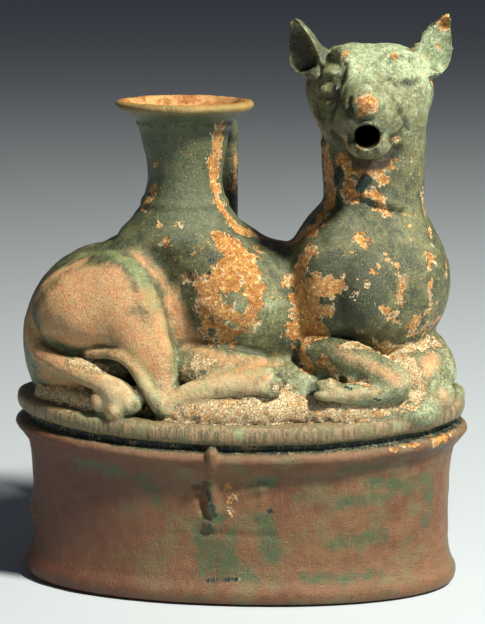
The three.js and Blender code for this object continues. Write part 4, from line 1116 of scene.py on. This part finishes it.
# Painted highlight: a lighter brown on the rounded parts of the plinth.
wall = blend(step(bulge, 0.30, 0.62, 0.0, 0.55), wall, (0.36, 0.21, 0.11, 1))
colour = blend(worn, green, tan)
colour = blend(calc("MULTIPLY", rim, step(mottle, 0.3, 0.6, 0.8, 0.3)), colour, (0.25, 0.31, 0.125, 1))
off_plinth = calc("SUBTRACT", 1.0, on_plinth)
colour = blend(calc("MULTIPLY", flecks, off_plinth), colour, (0.60, 0.32, 0.09, 1))
colour = blend(calc("MULTIPLY", loss_rim, calc("MULTIPLY", off_plinth, 0.7)), colour, (0.12, 0.13, 0.05, 1))
colour = blend(on_plinth, colour, wall)
rim_gold = calc("MULTIPLY", field("rim_gold"), step(patchy, 0.3, 0.6, 1.0, 0.5))
colour = blend(rim_gold, colour, (0.36, 0.22, 0.055, 1))

amber = blend(step(grain(0.5, 5.0, rough=0.7), 0.38, 0.62), (0.40, 0.15, 0.030, 1), (0.62, 0.31, 0.075, 1))
amber = blend(step(grain(0.9, 4.0, rough=0.75), 0.56, 0.62), amber, (0.92, 0.70, 0.32, 1))
amber = blend(step(grain(0.9, 4.0, rough=0.7), 0.44, 0.36, 0.0, 0.85), amber, (0.22, 0.09, 0.03, 1))
colour = blend(peeled, colour, amber)
outline = calc("MULTIPLY", calc("MULTIPLY", loss_rim, peeled), step(patchy, 0.47, 0.55))
colour = blend(outline, colour, (0.86, 0.74, 0.46, 1))

cell_in = {"Vector": place, "Scale": 1.15, "Randomness": 1.0}
cells = put("ShaderNodeTexVoronoi", cell_in, feature="DISTANCE_TO_EDGE")
tint = put("ShaderNodeTexVoronoi", cell_in, feature="F1")
crazing = step(cells.outputs["Distance"], -0.02, 0.12)
chips = blend(step(patchy, 0.44, 0.60), (0.80, 0.60, 0.32, 1), (0.62, 0.33, 0.10, 1))
chips = blend(step(tint.outputs["Color"], 0.3, 0.8, 0.0, 0.6), chips, (0.88, 0.78, 0.52, 1))
chips = blend(step(grain(1.2, 3.0), 0.50, 0.66, 0.0, 0.7), chips, (0.30, 0.27, 0.15, 1))
chips = blend(step(crazing, 0.0, 1.0, 0.35, 1.0), (0.20, 0.10, 0.04, 1), chips)
colour = blend(crust, colour, chips)

groove = calc("MULTIPLY", step(calc("ABSOLUTE", calc("SUBTRACT", level, 46.5)), 1.7, 0.7), on_plinth)
groove = calc("MULTIPLY", groove, step(grain(0.16, 3.0), 0.30, 0.42))
pool = calc("MAXIMUM", pooled, groove)
upright = put("ShaderNodeVectorMath", {0: place, 1: (1.0, 1.0, 0.3)}, operation="MULTIPLY").outputs["Vector"]
line_in = {"Vector": upright, "Scale": 0.7, "Randomness": 1.0}
lines = put("ShaderNodeTexVoronoi", line_in, feature="DISTANCE_TO_EDGE")
line_share = calc("MULTIPLY", on_plinth, step(patchy, 0.42, 0.60))
thin_lines = calc("MULTIPLY", step(lines.outputs["Distance"], 0.07, 0.0), line_share)
pool_colour = blend(thin_lines, (0.010, 0.026, 0.020, 1), (0.34, 0.29, 0.13, 1))
colour = blend(pool, colour, pool_colour)
inner_clay = blend(step(patchy, 0.4, 0.6), (0.34, 0.13, 0.03, 1), (0.52, 0.29, 0.10, 1))
colour = blend(in_bore, colour, inner_clay)
# Painted shade: near black wherever the shade marks lie.
colour = blend(calc("MULTIPLY", painted_shade, 0.92), colour, (0.012, 0.014, 0.007, 1))
print("colours laid")

# %% Sheen and surface
roughness = calc("MULTIPLY_ADD", mottle, 0.25, 0.26)
for mask, value in ((worn, 0.60), (on_plinth, 0.38), (peeled, 0.42), (crust, 0.70), (pool, 0.18)):
    roughness = put("ShaderNodeMix", {0: mask, 2: roughness, 3: value}, data_type="FLOAT").outputs[0]
pit_in = {"Vector": place, "Scale": 0.55, "Randomness": 1.0}
pits = put("ShaderNodeTexVoronoi", pit_in, feature="F1").outputs["Distance"]
height = calc("MULTIPLY", mottle, 0.22)
height = calc("MULTIPLY_ADD", peeled, -0.20, height)
height = calc("MULTIPLY_ADD", calc("MULTIPLY", peeled, grain(1.3, 5.0, rough=0.75)), 0.85, height)
height = calc("MULTIPLY_ADD", calc("MULTIPLY", worn, grain(1.3, 5.0, rough=0.8)), 0.40, height)
height = calc("MULTIPLY_ADD", calc("MULTIPLY", crust, crazing), 0.35, height)
height = calc("MULTIPLY_ADD", calc("MULTIPLY", crust, grain(1.6, 4.0, rough=0.8)), 0.60, height)
height = calc("MULTIPLY_ADD", step(pits, 0.10, 0.20), 0.12, height)
height = calc("MULTIPLY_ADD", speckle, 0.12, height)
height = calc("MULTIPLY_ADD", patchy, 0.30, height)
height = calc("MULTIPLY_ADD", fine_streak, 0.10, height)
bump = put("ShaderNodeBump", {"Strength": 1.0, "Distance": MM, "Height": height}).outputs["Normal"]
surface = put("ShaderNodeBsdfPrincipled", {"Base Color": colour, "Roughness": roughness, "Normal": bump})
put("ShaderNodeOutputMaterial", {"Surface": surface.outputs["BSDF"]})
print(len(tree.nodes), "nodes")

# %% [markdown]
# ## The piece in the shared frame
# The dressed vessel stands for the imported solid, which is hidden, rides on
# the same body and carries the glazed clay material.

# %% Put the piece in place
vessel = carrier
vessel.name = "askos_dressed"
vessel.data.name = "askos_dressed"
vessel.vertex_groups.clear()
vessel.data.materials.clear()
vessel.data.materials.append(glazed)
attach(vessel, "root")
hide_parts("askos")
print("piece:", vessel.name, len(vessel.data.polygons), "faces")

# %% [markdown]
# ## Floor and light
# A plain pale floor stands in for the gallery. One large soft lamp hangs to the
# right, above and in front, a weak one lifts the shaded left, and the world
# gives a cool grey.

# %% Stage
floor_mesh = bpy.data.meshes.new("studio_floor")
bm = bmesh.new()
bmesh.ops.create_grid(bm, x_segments=1, y_segments=1, size=9.0)
bm.to_mesh(floor_mesh)
bm.free()
floor = bpy.data.objects.new("studio_floor", floor_mesh)
floor.location.z = -0.0002
bpy.context.scene.collection.objects.link(floor)
paper = bpy.data.materials.new("pale_paper")
paper.use_nodes = True
paper_surface = paper.node_tree.nodes["Principled BSDF"]
paper_surface.inputs["Base Color"].default_value = (0.42, 0.47, 0.50, 1)
paper_surface.inputs["Roughness"].default_value = 0.9
floor_mesh.materials.append(paper)
floor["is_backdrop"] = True


def lamp(name, place, target, size, power, colour):
    data = bpy.data.lights.new(name, "AREA")
    data.shape = "DISK"
    data.size = size
    data.energy = power
    data.color = colour
    item = bpy.data.objects.new(name, data)
    bpy.context.scene.collection.objects.link(item)
    item.location = place
    item.rotation_euler = (Vector(target) - Vector(place)).to_track_quat("-Z", "Y").to_euler()
    return item


lamp("key", (0.54, -0.40, 0.88), (0.0, 0.0, 0.08), 0.13, 28.0, (1.0, 0.95, 0.86))
lamp("fill", (-0.6, -0.9, 0.35), (0.0, 0.0, 0.07), 0.9, 0.16, (0.92, 0.96, 1.0))
world = bpy.data.worlds.new("studio_world")
world.use_nodes = True
world.node_tree.nodes["Background"].inputs["Color"].default_value = (0.40, 0.42, 0.50, 1)
world.node_tree.nodes["Background"].inputs["Strength"].default_value = 0.16
bpy.context.scene.world = world

# %% [markdown]
# ## Sizes measured, scene closed
# The box of the dressed vessel is set beside that of the imported solid, and the growth is printed.
# The box of the dressed vessel must stay close to that of the imported solid.

# %% Finish
low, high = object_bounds()
{"cad": [list(cad_low), list(cad_high)], "dressed": [list(low), list(high)]}
growth = [(high[i] - low[i]) / (cad_high[i] - cad_low[i]) - 1 for i in range(3)]
print("grown by", [round(share * 100, 2) for share in growth], "%")
